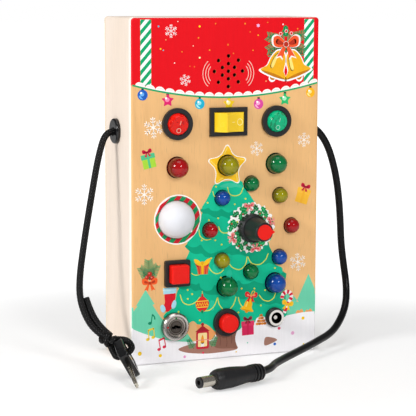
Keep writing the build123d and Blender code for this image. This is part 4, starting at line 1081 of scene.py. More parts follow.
class BOARD_OT_header(bpy.types.Operator):
    """Print the header: red field, candy stripes, scallops, sound arcs and falling dots"""
    bl_idname = "board.header"
    bl_label = "Header print"

    def execute(self, context):
        margin = sizes().print_margin / MM
        left, right, top = -HALF_WIDTH + margin, HALF_WIDTH - margin, TOP - margin
        ink = Print()
        field = [(left + (right - left) * k / 40, header_edge(left + (right - left) * k / 40)) for k in range(41)]
        corners = arc(1.0, 0, 90, 4, right - 1, top - 1) + arc(1.0, 90, 180, 4, left + 1, top - 1)
        holes = [arc(1.0, 0, 360, 16, x, z)[:-1] for x, z in SPEAKER_HOLES]
        ink.shape(HEADER_RED, 0, field + corners, holes)

        pitch = sizes().stripe_pitch / MM
        for x1, x2 in ((-47.9, -42.0), (44.1, 49.75)):
            foot = header_edge((x1 + x2) / 2) + 1.2
            ink.box("F4FBF6", 1, x1, foot, x2, top - 0.3)
            for k in range(-2, 9):
                low = foot + pitch * k
                band = [(x1, low), (x2, low + 6.6), (x2, low + 6.6 + pitch / 2), (x1, low + pitch / 2)]
                band = between(band, foot, top - 0.3)
                if len(band) > 2:
                    ink.shape("0AA468", 2, band)
        span = 5.42
        for k in range(-9, 10):
            middle = 0.9 + span * k
            humps = [(max(left, min(right, middle + span * 0.52 * cos(a))), sin(a))
                     for a in (pi * step / 10 for step in range(11))]
            ink.shape("FBF6F2", 3 + k % 2, [(x, header_edge(x) + 2.5 * rise - 0.1) for x, rise in humps])
            ink.line("E9D9D4", 5, 0.22, *[(x, header_edge(x) + 1.5 * rise) for x, rise in humps[3:8]])
        ink.line("1FA468", 6, 0.85, *[(x, z - 0.15) for x, z in field])
        for side, middle in ((-1, -4.9), (1, 6.4)):
            for reach, spread in ((8.7, 48), (7.15, 46), (5.7, 40)):
                first = 180 if side < 0 else 0
                ink.line("F6C9BC", 2, 0.36, *arc(reach, first - spread, first + spread, 14, middle, 150.9))
        ink.piece("header_print")

        confetti = (
            (-38.0, 175.4, 0.95, "45B8D8"), (-15.5, 175.3, 1.05, "F8D820"), (-6.6, 176.7, 0.75, "F08A2A"),
            (10.0, 176.6, 0.8, "F09A2A"), (22.9, 177.2, 0.7, "F08A2A"), (-16.1, 169.5, 0.75, "F49A2A"),
            (-9.9, 163.1, 0.8, "F8A02A"), (0.4, 165.8, 0.95, "F07E2A"), (3.5, 161.3, 0.75, "F07E2A"),
            (14.6, 162.8, 0.7, "F4A02A"), (12.9, 172.3, 0.8, "EE6A2A"), (-18.3, 154.7, 0.8, "EE6A2A"),
            (-27.5, 177.8, 0.6, "FFF4EA"), (31.7, 176.1, 0.8, "FFFFFF"), (-19.0, 165.4, 0.6, "FFE2C8"),
            (-15.4, 159.3, 1.0, "FFF2B0"), (-29.3, 156.8, 0.6, "FFF4EA"), (40.2, 173.8, 0.7, "F8B02A"),
            (17.5, 170.6, 0.75, "F8C42A"), (-36.9, 164.0, 0.9, "F8D020"), (-35.4, 163.3, 0.7, "58B8C8"),
            (-34.0, 168.6, 0.6, "F6B070"), (22.2, 146.6, 0.7, "F6B070"), (-25.2, 162.4, 0.6, "F8B02A"),
            (-20.8, 155.0, 0.6, "EE6A2A"))
        scatter("header_dots", dot_shape("dot", 0.055, 12), confetti)

        ink = Print()
        snowflake(ink, -31.2, 173.0, 7.0)
        snowflake(ink, -23.4, 147.9, 6.2, turn=12)
        star(ink, 17.5, 175.6, 1.1, "F2B8E8", 3, inner=0.6, points=6)
        # A pair of bells with a bow over pine and holly, in the free corner of the header.
        for turn in (198, 222, -22, -44, 160, 22):
            sprig(ink, 33.6, 166.4, 11.5, turn, "0E8A52", 3)
        for x, z, turn in ((30.2, 168.0, 160), (37.0, 168.2, 24), (33.4, 169.6, 92)):
            leaf(ink, x, z, 6.2, turn, level=5)
        for x, turn in ((28.6, -20), (38.6, 20)):
            bell(ink, x, 156.0, 9.2, 7, turn, "FFFFFF", "FFFFFF", "FFFFFF")
            bell(ink, x, 156.0, 8.3, 8, turn)
        bow(ink, 33.6, 165.6, 8.2, "F4F0EC", "F4F0EC", 11)
        bow(ink, 33.6, 165.6, 7.2, "F0562C", "B8301C", 12)
        for x, z in ((30.4, 171.2), (36.6, 171.4), (33.6, 172.6)):
            ink.disc("FBEFEA", 12, x, z, 0.95).disc("D8281E", 13, x, z, 0.7)
        ink.piece("header_motifs")
        return {"FINISHED"}


class BOARD_OT_garland(bpy.types.Operator):
    """Print the hanging ornaments, the snowflakes and the wrapped boxes on the bare wood"""
    bl_idname = "board.garland"
    bl_label = "Ornament print"

    def execute(self, context):
        ink = Print()
        for x, z, radius, tint, shine, starry in (
                (-46.7, 140.7, 2.75, "1F5FC0", "6FB4F4", False), (-33.0, 137.6, 3.0, "E0246E", "F888B0", True),
                (-15.3, 135.5, 2.75, "1FB0D0", "9FE8F0", False), (1.1, 135.3, 2.9, "F0C81E", "FFF0A0", True),
                (18.0, 134.7, 2.75, "DE4AA0", "F8B0D8", False), (33.2, 136.8, 3.0, "2FC070", "A8F0C0", True),
                (48.1, 140.1, 2.6, "F8B41E", "FFE890", False)):
            bulb(ink, x, z, radius, tint, shine, starry)
        for x, z, size, turn in ((-40.9, 123.9, 11.0, 4), (-45.9, 89.6, 10.8, 0), (17.1, 111.2, 7.9, 8),
                                 (44.7, 115.0, 7.9, 0), (41.8, 49.1, 10.0, 5)):
            snowflake(ink, x, z, size, "FFF6EC", turn=turn)
            ink.disc("FFF6EC", 3, x, z, size * 0.07, 1, 12)
        gift(ink, -43.4, 106.8, 7.6, 7.4, "A8D840", "4FC088", "4FC088", 12)
        gift(ink, 44.3, 84.9, 8.0, 8.0, "F4B836", "F6BE42", "F2B030", -18)
        # Pine twigs with berries beside the square button.
        for turn, size in ((58, 8.6), (92, 10.4), (126, 8.6)):
            sprig(ink, -43.0, 45.0, size, turn, "2A8A5A", 2)
        for x, z in ((-44.6, 46.2), (-41.6, 45.8), (-43.0, 48.0)):
            ink.disc("B8281E", 4, x, z, 1.25).disc("F08070", 5, x - 0.35, z + 0.4, 0.4, 1, 10)
        bow(ink, -43.0, 43.2, 4.2, "F0602C", "B83A1C", 6)
        ink.piece("ornament_print")
        return {"FINISHED"}


class BOARD_OT_rings(bpy.types.Operator):
    """Print the striped ring round the dome and the holly wreath round the knob"""
    bl_idname = "board.rings"
    bl_label = "Ring prints"

    def execute(self, context):
        ink = Print()
        x, z = -27.5, 75.7
        outer, inner, width, turn = 12.5, 9.0, 2.35, radians(50)
        c, s = cos(turn), sin(turn)
        bore = [arc(10.1, 0, 360, 48, -28.3, 75.8)[:-1]]
        ink.shape("FBF6F0", 2, arc(13.15, 0, 360, 64, x, z)[:-1], bore)
        for k in range(-14, 15):
            # Parallel slanted bands, each cut to the ring by the angles at which it meets both circles.
            tint = "C81F2E" if k % 2 else "16925A"
            for side in (-1, 1):
                lines = []
                for offset in (width * (k - 0.5), width * (k + 0.5)):
                    offset = max(-12.49, min(12.49, offset))
                    out = sqrt(outer**2 - offset**2)
                    inn = sqrt(max(inner**2 - offset**2, 0))
                    lines.append([(side * (inn + (out - inn) * step / 3), offset) for step in range(4)])
                band = lines[0] + lines[1][::-1]
                if abs(area(band)) > 0.05:
                    ink.shape(tint, 3, [(x + c * a - s * b, z + s * a + c * b) for a, b in band], bore)
        ink.piece("dome_ring_print")

        ink = Print()
        x, z = RING_AT
        bore = [arc(4.5, 0, 360, 24, x, z)[:-1]]
        edge = [polar(13.1 + 0.7 * cos(k * 2.3) + 0.25 * cos(k * 5.1), 5 * k, x, z) for k in range(72)]
        ink.shape("FCFAF6", 20, smooth(edge, steps=2), bore)
        for row, (count, middle, length) in enumerate(((13, 8.6, 4.3), (17, 11.2, 4.5))):
            for k in range(count):
                angle = 360 * (k + row * 0.5) / count + 4 * sin(k * 2.1)
                reach = middle + 0.5 * cos(k * 3.3)
                px, pz = polar(reach, angle, x, z)
                lean = (34 if row else 150) * (1 if k % 2 else 0.5)
                start = angle + 90 - lean if row else angle + lean
                leaf(ink, px - 1.9 * cos(radians(start)), pz - 1.9 * sin(radians(start)), length, start,
                     "0C9A50" if k % 3 else "0A7A40", "5CC890", 21 + row)
        for k in range(16):
            angle = 22.5 * k + 9
            reach = 10.2 + 1.5 * cos(k * 1.9)
            ink.disc("C02838" if k % 3 else "4A1A2A", 25, *polar(reach, angle, x, z), 0.5, 1, 10)
        for angle, turn in ((95, 4), (206, -74), (284, 186), (12, 96)):
            bow(ink, *polar(11.6, angle, x, z), 2.9, "F2948E", "DC4A54", 26, turn)
        ink.piece("wreath_print")
        return {"FINISHED"}


LARGE_LAMPS_AT = ((-28.0, 103.0), (0.3, 103.0), (28.0, 103.0), (0.0, 38.8), (28.0, 38.8))
LAMP_HOLES = ([(x, z, SMALL_HOLE) for x, z in ring_places(*range(0, 360, 45))]
              + [(x, z, LARGE_HOLE) for x, z in LARGE_LAMPS_AT])
LAMP_CUTS = [arc(radius, 0, 360, 32, x, z)[:-1] for x, z, radius in LAMP_HOLES]
OPENINGS = [arc(radius, 0, 360, 32, *place)[:-1] for radius, place in ((5.0, KEY_SWITCH_AT), (4.0, SOCKET_AT))]


class BOARD_OT_tree(bpy.types.Operator):
    """Print the trimmed tree with its star, swags, lights and small gifts"""
    bl_idname = "board.tree"
    bl_label = "Tree print"

    def execute(self, context):
        ink = Print()
        # Trunk, shade on the ground and the tiers, from the lowest up.
        ink.blob("A5796A", 3, (-27.0, 7.1), (-19.0, 9.2), (-6.6, 9.9), (4.0, 7.6), (6.4, 4.2), (-6.0, 3.2),
                 (-15.0, 3.6), (-23.0, 4.9))
        ink.blob("A5796A", 3, (23.0, 9.2), (27.0, 8.9), (30.0, 7.4), (27.0, 5.8), (22.6, 4.9))
        ink.shape("8A5F50", 4, smooth([(-5.4, 17.0), (-5.6, 12.0), (-6.8, 7.0), (-3.0, 5.4), (3.0, 5.0), (6.4, 4.9),
                                       (5.4, 9.5), (6.0, 13.0), (7.6, 17.0)]))
        for x, z in ((-3.4, 9.5), (0.4, 8.6), (3.2, 10.2)):
            ink.line("714A3E", 5, 0.35, (x, z - 2.6), (x + 0.3, z), (x - 0.1, z + 2.6))
        ink.blob("EFA362", 3, (-17.0, 19.0), (-10.0, 17.8), (-6.0, 15.6), (-7.0, 11.4), (-11.5, 10.8))

        # Tiers from the lowest up, each with the deep green band that it throws on the one below.
        tiers = (
            ([(-26.2, 40.5), (-27.9, 37.3), (-28.9, 32.3), (-30.8, 29.3), (-34.5, 26.5), (-35.2, 24.3), (-30.2, 22.3),
              (-26.1, 20.1), (-22.1, 20.1), (-18.7, 21.4), (-16.0, 19.3), (-11.9, 19.3), (-9.1, 17.5), (-6.4, 15.0),
              (-2.2, 14.0), (6.8, 14.3), (10.2, 16.6), (15.1, 17.5), (19.3, 18.5), (23.6, 17.5), (26.4, 18.6),
              (30.7, 18.3), (34.9, 19.9), (35.6, 22.8), (34.1, 26.6), (32.0, 30.7), (30.5, 34.7), (29.0, 40.0),
              (1.1, 45.8), (-23.5, 47.3)],
             [(-28.9, 43.9), (1.1, 41.9), (32.5, 45.0), (34.0, 37.1), (34.8, 30.5), (34.1, 26.2), (29.1, 27.6),
              (24.9, 26.9), (21.4, 28.1), (17.9, 27.8), (15.0, 29.9), (12.2, 31.4), (9.5, 31.0), (6.7, 32.1),
              (3.9, 33.9), (-0.3, 32.9), (-3.7, 34.5), (-8.4, 34.7), (-11.6, 35.6), (-14.7, 37.7), (-17.9, 37.3),
              (-20.4, 39.2), (-24.1, 38.5), (-28.2, 40.7)]),
            ([(-18.1, 63.5), (-20.1, 60.5), (-22.1, 56.2), (-24.8, 51.9), (-28.2, 47.7), (-29.2, 44.5), (-27.5, 42.2),
              (-23.5, 41.0), (-19.8, 41.5), (-17.0, 40.7), (-15.4, 41.4), (-14.5, 38.8), (-11.6, 37.0), (-8.4, 37.4),
              (-6.5, 39.8), (-3.7, 38.3), (0.4, 37.4), (4.5, 38.4), (7.0, 41.5), (9.4, 39.3), (13.0, 39.3),
              (15.8, 40.5), (18.8, 39.4), (22.0, 38.7), (25.1, 40.0), (28.3, 41.4), (31.5, 42.8), (32.9, 44.3),
              (32.3, 46.8), (28.9, 48.4), (27.1, 51.2), (24.6, 55.9), (21.8, 60.6), (0.9, 65.0)],
             [(-22.2, 62.8), (0.9, 65.0), (21.8, 62.5), (25.0, 58.5), (27.1, 54.5), (28.2, 50.5), (27.9, 48.4),
              (25.0, 49.7), (21.9, 48.9), (18.4, 49.3), (14.9, 50.7), (12.1, 53.4), (9.3, 54.9), (5.8, 55.4),
              (3.1, 55.1), (1.0, 56.2), (-2.4, 56.1), (-5.5, 55.3), (-8.5, 54.7), (-11.9, 55.2), (-14.0, 57.1),
              (-17.4, 57.0), (-20.5, 58.5)]),
            ([(-10.7, 82.8), (-13.8, 78.5), (-14.6, 74.8), (-16.1, 69.8), (-19.1, 66.1), (-22.3, 63.0), (-20.0, 60.9),
              (-16.8, 60.8), (-14.6, 61.8), (-12.7, 59.3), (-9.3, 56.8), (-5.5, 57.4), (-2.8, 58.3), (-0.7, 58.7),
              (3.7, 61.0), (7.9, 61.4), (14.8, 60.4), (21.8, 61.3), (26.0, 62.3), (23.8, 66.3), (20.3, 71.7),
              (17.5, 76.9), (14.6, 81.6)],
             [(-13.9, 81.0), (0.9, 82.2), (17.4, 80.1), (18.9, 76.9), (17.5, 75.0), (11.9, 74.7), (7.8, 74.2),
              (4.3, 75.0), (2.3, 74.4), (-0.1, 75.3), (-2.9, 76.4), (-5.1, 75.5), (-7.9, 76.3), (-10.6, 78.0),
              (-13.4, 78.4)]),
            ([(-5.7, 93.9), (-9.4, 88.7), (-11.7, 84.7), (-13.9, 81.5), (-12.8, 80.4), (-10.2, 81.0), (-8.5, 79.6),
              (-5.3, 79.1), (-2.9, 80.1), (-0.6, 78.6), (1.7, 78.0), (4.0, 78.9), (7.8, 77.4), (11.9, 77.5),
              (15.4, 79.0), (17.8, 80.1), (15.7, 83.4), (12.9, 87.4), (9.7, 91.4), (7.6, 94.6)],
             [(-4.0, 92.0), (0.8, 93.7), (7.7, 92.4), (10.4, 90.1), (5.6, 91.4), (0.8, 91.0)]))
        for number, (tier, band) in enumerate(tiers):
            tint = ("08BC90", "0CC094", "0CC094", "10C296")[number]
            band_tint = "00A27A" if number < 3 else "3CC8A2"
            ink.shape(tint, 5 + 2 * number, smooth(tier, steps=4), LAMP_CUTS + OPENINGS)
            ink.shape(band_tint, 6 + 2 * number, smooth(band, steps=3), LAMP_CUTS + OPENINGS)
        for points in (((-7.6, 50.4), (-5.4, 51.0), (-4.4, 47.2), (-6.0, 44.8), (-7.4, 46.6)),
                       ((0.4, 46.6), (2.4, 47.4), (3.4, 45.0), (1.8, 42.6), (0.2, 44.2)),
                       ((-9.0, 31.4), (-6.8, 31.0), (-7.0, 26.6), (-9.0, 27.0))):
            ink.blob("26C79F", 12, *points)
        for line in (((0.5, 91.5), (1.6, 88.0), (4.6, 86.7), (7.8, 87.6), (9.6, 91.1)),
                     ((-7.8, 89.7), (-7.2, 87.4), (-5.6, 86.1)),
                     ((-4.6, 71.0), (-3.4, 68.4), (-1.0, 67.2), (1.3, 67.7)),
                     ((-15.6, 69.9), (-15.0, 66.5), (-12.0, 64.2), (-8.6, 64.5)),
                     ((12.4, 53.9), (14.6, 50.2), (19.0, 49.2), (22.6, 51.4), (24.3, 54.9)),
                     ((0.6, 53.4), (3.0, 49.0), (7.6, 47.2), (11.0, 49.6), (12.0, 53.9)),
                     ((-10.4, 50.2), (-8.0, 47.0), (-4.9, 45.8), (-2.0, 47.2), (-0.9, 50.4)),
                     ((-19.8, 47.0), (-17.6, 45.8), (-14.9, 46.2), (-12.0, 47.6)),
                     ((-26.1, 36.0), (-24.6, 32.0), (-21.2, 30.3), (-17.4, 31.4), (-14.9, 33.9)),
                     ((-13.0, 26.4), (-9.4, 26.6), (-6.6, 29.0), (-4.9, 33.2)),
                     ((-4.9, 33.2), (-4.0, 29.4), (-1.6, 26.1)), ((1.6, 25.8), (4.2, 28.4), (5.7, 32.6)),
                     ((7.0, 32.4), (8.0, 29.0), (9.9, 26.5)),
                     ((19.1, 32.8), (21.4, 30.0), (24.7, 29.0), (27.6, 30.4), (28.9, 33.4))):
            ink.line("E4E24E", 13, 0.46, *smooth(line, False, 5))

        # Star behind the middle lamp.
        def plump_star(radius, tint, level):
            plump = [polar(reach, 90 + 36 * k) for k, reach in enumerate((1.04, 0.55) * 5)]
            corners = []
            for before, corner, after in zip(plump[-1:] + plump[:-1], plump, plump[1:] + plump[:1]):
                for other in (before, after):
                    corners.append(tuple(c + (o - c) * 0.24 for c, o in zip(corner, other)))
            outline = [(STAR_AT[0] + radius * px, STAR_AT[1] + radius * pz) for px, pz in smooth(corners, steps=3)]
            ink.shape(tint, level, outline, [arc(LARGE_HOLE, 0, 360, 28, 0.3, 103.0)[:-1]])

        plump_star(12.1, "FDF8EE", 14)
        plump_star(11.3, "FFC828", 15)
        for k in range(5):
            angle = 90 + 72 * k
            ink.line("FCDC6A", 16, 0.5, polar(10.0, angle, *STAR_AT), polar(6.4, angle + 16, *STAR_AT))

        # Small presents and ornaments on the tree.
        ink.shape("DC3A28", 14, [(-17.2, 51.8), (-9.9, 51.5), (-10.6, 46.0), (-16.0, 46.0)])
        for k in range(5):
            x = -16.5 + 1.45 * k
            ink.line("F08A5A", 15, 0.3, (x, 51.6), (x * 0.8 - 2.66, 46.1))
        ink.shape("F6BE1E", 16, [(-14.5, 52.0), (-12.7, 52.0), (-12.9, 46.0), (-14.1, 46.0)])
        for side in (-1, 1):
            ink.line("C02430", 16, 0.9, (-13.6 + side * 3.7, 51.8), (-13.6 + side * 2.6, 50.2))
            ink.blob("F8C428", 17, (-13.6, 51.2), (-13.6 + side * 2.2, 53.6), (-13.6 + side * 4.6, 54.2),
                     (-13.6 + side * 3.9, 51.9), (-13.6 + side * 1.6, 50.6))
        ink.blob("E8A818", 18, (-14.6, 52.3), (-13.6, 53.0), (-12.6, 52.3), (-13.6, 50.8))
        # Ball ornament with a point below, a cap and a zigzag band.
        ink.blob("DC2A2C", 14, (-13.6, 34.4), (-15.4, 33.2), (-17.4, 30.6), (-16.4, 27.6), (-13.6, 25.8), (-10.8, 27.6),
                 (-9.8, 30.6), (-11.8, 33.2))
        ink.blob("0C8A52", 15, (-14.5, 26.7), (-13.6, 26.9), (-12.7, 26.7), (-13.6, 25.0))
        ink.box("D8262A", 14, -14.1, 34.2, -13.1, 35.6).line("E4E24E", 14, 0.3, (-13.6, 35.6), (-13.6, 37.0))
        ink.line("F8D040", 15, 0.5, (-17.0, 31.7), (-10.2, 31.7)).line("F8D040", 15, 0.5, (-16.8, 28.5), (-10.4, 28.5))
        ink.line("F8C62C", 15, 0.7, *[(-16.9 + 0.66 * k, 29.2 + 1.7 * (k % 2)) for k in range(11)])
        # Gold bell with bows, a striped cane with a bow, and a stocking.
        bell(ink, 12.9, 28.0, 4.1, 14, -16, "F6B81C", "D89010", "FFD860")
        bow(ink, 14.4, 32.4, 3.5, "E0282C", "FF8070", 17, -8)
        for side in (-1, 1):
            ink.line("E8C832", 20, 0.4, *smooth([(14.2, 32.8), (14.2 + side * 1.2, 35.0), (14.2 + side * 2.4, 34.6),
                                                 (14.2 + side * 1.6, 33.2), (14.2, 32.6)], False, 4))
        cane = smooth([(32.7, 29.8), (33.2, 32.0), (35.2, 33.3), (37.4, 32.6), (38.2, 30.4), (37.0, 28.0), (35.4, 25.2),
                       (34.0, 21.8)], False, 6)
        ink.shape("FBEFEC", 14, ribbon(cane, 2.1))
        for k in range(1, len(cane) - 4, 6):
            ink.shape("DE1E40", 15, ribbon(cane[k:k + 4], 2.1))
        bow(ink, 35.9, 26.4, 3.3, "F8C22A", "F0B020", 16, -16)
        ink.blob("DA1C2C", 14, (-34.5, 37.4), (-29.1, 37.5), (-29.0, 33.4), (-29.8, 31.0), (-31.6, 28.3), (-33.8, 27.5),
                 (-35.6, 30.0), (-34.6, 32.4))
        ink.shape("A8DDEC", 15, [(-35.6, 40.1), (-28.2, 40.0), (-28.4, 37.0), (-35.4, 36.8)])
        ink.blob("C2EAF4", 16, (-35.0, 39.4), (-29.0, 39.3), (-29.2, 38.6), (-35.0, 38.5))
        ink.blob("A8DDEC", 16, (-37.1, 30.6), (-36.0, 31.4), (-34.8, 30.4), (-34.3, 28.4), (-35.4, 27.2), (-36.8, 28.2))
        ink.blob("A8DDEC", 16, (-31.0, 30.4), (-30.2, 32.6), (-28.9, 33.4), (-28.2, 31.6), (-29.0, 29.4), (-30.4, 28.8))
        ink.piece("tree_print")

        dots = ((-10.8, 83.8), (-4.8, 75.3), (-10.0, 74.5), (-2.7, 61.2), (-6.4, 63.7), (-14.1, 64.1), (10.8, 84.9),
                (4.7, 82.2), (6.3, 72.8), (-8.6, 54.3), (-3.1, 43.6), (-21.9, 38.2), (-19.4, 35.9), (8.9, 36.9),
                (16.3, 36.4), (22.6, 35.1), (28.3, 46.7), (-15.0, 21.5), (7.1, 24.1), (20.2, 26.9), (-21.8, 33.5),
                (-27.0, 27.0), (1.4, 21.0), (17.0, 43.6), (-6.0, 92.0))
        scatter("tree_lights", dot_shape("light", 0.175, 10), [(x, z, 0.95, "E8E04A") for x, z in dots])
        return {"FINISHED"}


class BOARD_OT_snow(bpy.types.Operator):
    """Print the snowy ground, the pale firs, the notes and the dots at the foot of the front"""
    bl_idname = "board.snow"
    bl_label = "Ground print"

    def execute(self, context):
        margin = sizes().print_margin / MM
        left, right, low = -HALF_WIDTH + margin, HALF_WIDTH - margin, margin
        ink = Print()
        ink.shape(MINT, 0, [(left, 12), (left, 28.8), (-49.6, 31.8), (-50.7, 31.6), (-45.3, 39.9), (-40.3, 32.0),
                            (-41.5, 31.7), (-37.4, 25.4), (-33.6, 21.0), (-24.0, 18.0), (-18.0, 9.2)], OPENINGS)
        ink.shape(MINT, 0, [(29.0, 15.0), (33.0, 28.0), (36.5, 34.4), (42.7, 27.2), (41.2, 27.4), (48.3, 42.3),
                            (right, 33.6), (right, 17.6), (35.0, 15.0)], OPENINGS)
        for x, z in ((43.4, 22.4), (48.8, 22.2)):
            ink.blob("EFA362", 0.5, (x - 2.4, z - 1.4), (x - 1.4, z + 0.4), (x - 0.2, z), (x + 0.9, z + 0.9),
                     (x + 2.0, z - 1.2))
        crest = smooth([(left, 19.6), (-45.7, 16.6), (-35.5, 12.9), (-26.5, 11.1), (-19.3, 10.4), (-12.0, 11.2),
                        (-4.0, 13.6), (7.1, 17.0), (15.0, 18.0), (23.0, 17.8), (30.5, 18.9), (35.2, 20.2),
                        (44.7, 21.3), (right, 21.4)], False, 4)
        foot = [(left, low + 1), (left + 1, low), (right - 1, low), (right, low + 1)]
        ink.shape(SNOW, 1, foot + crest[::-1], OPENINGS)
        notes = ((-41.2, 24.0, "0C8A62", -8), (-42.9, 15.9, "F0CE3A", 6), (-36.8, 10.2, "E02A4A", 10))
        for x, z, tint, turn in notes:
            ink.at(x, z, 1, turn)
            ink.disc(tint, 3, -1.5, -2.2, 1.0, 0.8, 14).line(tint, 3, 0.55, (-0.75, -2.2), (-0.75, 2.6))
            if tint == "0C8A62":
                ink.line(tint, 3, 0.7, (-0.8, 2.6), (0.6, 1.4), (1.0, 0.0))
            else:
                ink.disc(tint, 3, 1.6, -1.6, 1.0, 0.8, 14).line(tint, 3, 0.55, (2.35, -1.6), (2.35, 3.2))
                ink.line(tint, 3, 1.0, (-0.9, 2.5), (2.5, 3.1))
        ink.at(0, 0)
        # A candle lantern and a sprig left of the trunk, and two boxes with a pine cone right of it.
        ink.at(-13.4, 12.2, 1)
        ink.shape("C8283A", 6, rounded(-3.6, -6.2, 3.6, 3.4, 0.9))
        ink.shape("FBE3A0", 7, rounded(-2.6, -5.0, 2.6, 2.4, 0.6))
        ink.blob("F59A2A", 8, (-1.1, -2.4), (0, 1.4), (1.1, -2.4), (0, -3.4)).box("F6F0E8", 8, -0.9, -5.0, 0.9, -2.8)
        ink.shape("A81E30", 7, [(-4.2, 3.2), (4.2, 3.2), (0, 6.4)]).disc("A81E30", 6, 0, 7.0, 0.9, 1, 12)
        ink.line("E88A8A", 9, 0.4, (-3.6, -1.4), (3.6, -1.4)).at(0, 0)
        for x, turn in ((-18.4, 118), (-8.4, 62)):
            sprig(ink, x, 6.6, 6.0, turn, "148A5A", 6)
        gift(ink, 12.7, 15.2, 7.4, 7.6, "DA2A5C", "E23A66", "D02450", 1, "8A2A3A", "5A1428", 14)
        ink.at(20.4, 19.4, 1)
        ink.blob("F3EFF2", 14, (-3.4, -3.0), (-2.8, 0.4), (0, 1.6), (2.8, 0.4), (3.4, -3.0), (0, -4.2))
        for row in range(4):
            for k in range(4 - row):
                ink.disc("C8702A" if (row + k) % 2 else "E8923A", 15 + row, (k - (3 - row) / 2) * 1.5,
                         -2.4 + 1.5 * row, 0.95, 0.8, 12)
        ink.at(0, 0)
        ink.piece("ground_print")

        spots = ((-48.6, 6.4, 2.2, "F0C81E"), (-37.2, 4.4, 1.8, "F0C81E"), (-23.5, 2.6, 1.5, "E8A0CC"),
                 (-13.0, 3.9, 1.2, "E8385A"), (31.1, 13.6, 1.6, "E0285A"), (39.2, 10.4, 2.0, "E8A8D0"),
                 (28.6, 5.2, 1.6, "2A6AC8"), (45.3, 18.1, 1.8, "F6CC1E"), (45.8, 3.8, 1.0, "F0D84A"),
                 (12.6, 7.2, 0.8, "7FD0B4"), (-48.8, 12.0, 0.8, "F3EFF2"), (6.0, 2.8, 0.8, "F0C81E"))
        scatter("ground_dots", dot_shape("fleck", 0.05, 14), spots)
        return {"FINISHED"}


# ---------------------------------------------------------------- studio

AROUND_LEVEL = 0.42       # light from all around
MIRRORED_LOSS = 0.20      # how much dimmer it is in reflections


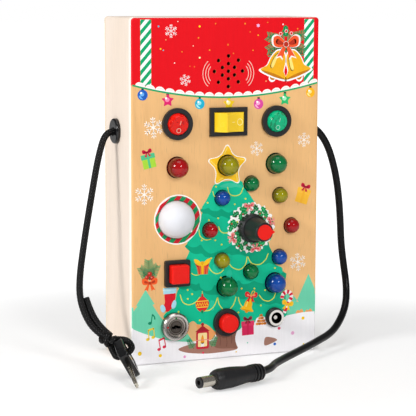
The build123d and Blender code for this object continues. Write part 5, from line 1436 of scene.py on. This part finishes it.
class BOARD_OT_studio(bpy.types.Operator):
    """Set the pale floor, the soft lights, the white surroundings and the camera"""
    bl_idname = "board.studio"
    bl_label = "Studio"

    def execute(self, context):
        scene = context.scene
        scene.view_settings.view_transform = "Standard"
        floor_mesh = bpy.data.meshes.new("floor")
        floor_mesh.from_pydata([(-6, -4, 0), (6, -4, 0), (6, 9, 0), (-6, 9, 0)], [], [(0, 1, 2, 3)])
        floor = bpy.data.objects.new("floor", floor_mesh)
        scene.collection.objects.link(floor)
        surface = Finish("floor", (0.93, 0.93, 0.93), 0.6, Specular_IOR_Level=0.1)
        paths = surface.node("ShaderNodeLightPath", output="Is Camera Ray")
        away = surface.node("ShaderNodeVectorMath", {"operation": "LENGTH"}, {0: surface.spot()}, "Value")
        far = surface.node("ShaderNodeMapRange", {"interpolation_type": "SMOOTHSTEP"},
                           {"Value": away, "From Min": 0.12, "From Max": 0.30, "To Min": 0.30, "To Max": 1.0})
        x, y = (surface.maths("ABSOLUTE", surface.axis(name)) for name in "XY")
        clear = surface.maths("MAXIMUM", x - HALF_WIDTH * MM, y + FRONT * MM)
        near = surface.node("ShaderNodeMapRange", None, {"Value": clear, "From Min": 0.0005, "From Max": 0.006})
        white = surface.node("ShaderNodeEmission", None, {"Color": (1, 1, 1, 1), "Strength": 1.25})
        out = surface.tree.nodes["Material Output"].inputs["Surface"]
        shown = surface.node("ShaderNodeMixShader", None, {0: paths * far * near, 2: white})
        surface.tree.links.new(surface.shader.outputs[0], shown.socket.node.inputs[1])
        surface.tree.links.new(shown.socket, out)
        floor_mesh.materials.append(surface.material)

        world = bpy.data.worlds.new("studio")
        world.use_nodes = True
        scene.world = world
        nodes, links = world.node_tree.nodes, world.node_tree.links
        around = nodes["Background"]
        around.inputs["Color"].default_value = (1, 1, 1, 1)
        rays = nodes.new("ShaderNodeLightPath")
        seen, level, mirrored = (nodes.new("ShaderNodeMath") for _ in range(3))
        seen.operation = level.operation = "MAXIMUM"
        mirrored.operation = "MULTIPLY_ADD"
        mirrored.inputs[1].default_value = -MIRRORED_LOSS
        mirrored.inputs[2].default_value = AROUND_LEVEL
        links.new(rays.outputs["Is Glossy Ray"], mirrored.inputs[0])
        links.new(rays.outputs["Is Camera Ray"], seen.inputs[0])
        links.new(rays.outputs["Is Transmission Ray"], seen.inputs[1])
        links.new(seen.outputs[0], level.inputs[0])
        links.new(mirrored.outputs[0], level.inputs[1])
        links.new(level.outputs[0], around.inputs["Strength"])

        middle = Vector((0, 0, 0.09))
        for name, azimuth, elevation, distance, width, power in (
                ("left_softbox", -76, 24, 1.7, 0.42, 15.5), ("right_softbox", 8, 26, 1.7, 0.36, 9.5),
                ("top_softbox", -20, 78, 1.6, 0.9, 5.0)):
            light = bpy.data.lights.new(name, "AREA")
            light.shape = "SQUARE"
            light.size = width
            light.energy = power
            holder = bpy.data.objects.new(name, light)
            scene.collection.objects.link(holder)
            a, e = radians(azimuth), radians(elevation)
            toward = Vector((sin(a) * cos(e), -cos(a) * cos(e), sin(e)))
            holder.location = middle + toward * distance
            holder.rotation_euler = toward.to_track_quat("Z", "Y").to_euler()

        azimuth, elevation, roll = radians(-22.376), radians(7.781), radians(0.186)
        back = Vector((sin(azimuth) * cos(elevation), -cos(azimuth) * cos(elevation), sin(elevation)))
        right = Vector((0, 0, 1)).cross(back).normalized()
        up = back.cross(right)
        right, up = right * cos(roll) + up * sin(roll), up * cos(roll) - right * sin(roll)
        data = bpy.data.cameras.new("camera")
        data.sensor_width = 36
        data.lens = 136.2
        camera = bpy.data.objects.new("camera", data)
        scene.collection.objects.link(camera)
        turn = Matrix((right, up, back)).transposed().to_4x4()
        camera.matrix_world = Matrix.Translation((-0.32071, -0.77478, 0.19233)) @ turn
        scene.camera = camera
        return {"FINISHED"}


# ---------------------------------------------------------------- panel and build

OPERATORS = (BOARD_OT_finishes, BOARD_OT_cords, BOARD_OT_lamps, BOARD_OT_header, BOARD_OT_garland, BOARD_OT_rings,
             BOARD_OT_tree, BOARD_OT_snow, BOARD_OT_marks, BOARD_OT_studio)


class BOARD_PT_panel(bpy.types.Panel):
    """Lists the steps that build the board"""
    bl_idname = "BOARD_PT_panel"
    bl_label = "Busy Board"
    bl_space_type = "VIEW_3D"
    bl_region_type = "UI"
    bl_category = "Busy Board"

    def draw(self, context):
        for group in (context.scene.board_sizes, context.scene.board_colours):
            for name in group.__annotations__:
                self.layout.prop(group, name)
        for operator in OPERATORS:
            self.layout.operator(operator.bl_idname)


CLASSES = (BoardColours, BoardSizes, *OPERATORS, BOARD_PT_panel)


def register():
    for item in CLASSES:
        bpy.utils.register_class(item)
    bpy.types.Scene.board_colours = bpy.props.PointerProperty(type=BoardColours)
    bpy.types.Scene.board_sizes = bpy.props.PointerProperty(type=BoardSizes)


def unregister():
    del bpy.types.Scene.board_sizes
    del bpy.types.Scene.board_colours
    for item in reversed(CLASSES):
        bpy.utils.unregister_class(item)


def main():
    register()
    for operator in OPERATORS:
        group, name = operator.bl_idname.split(".")
        getattr(getattr(bpy.ops, group), name)()


if __name__ == "__main__":
    main()
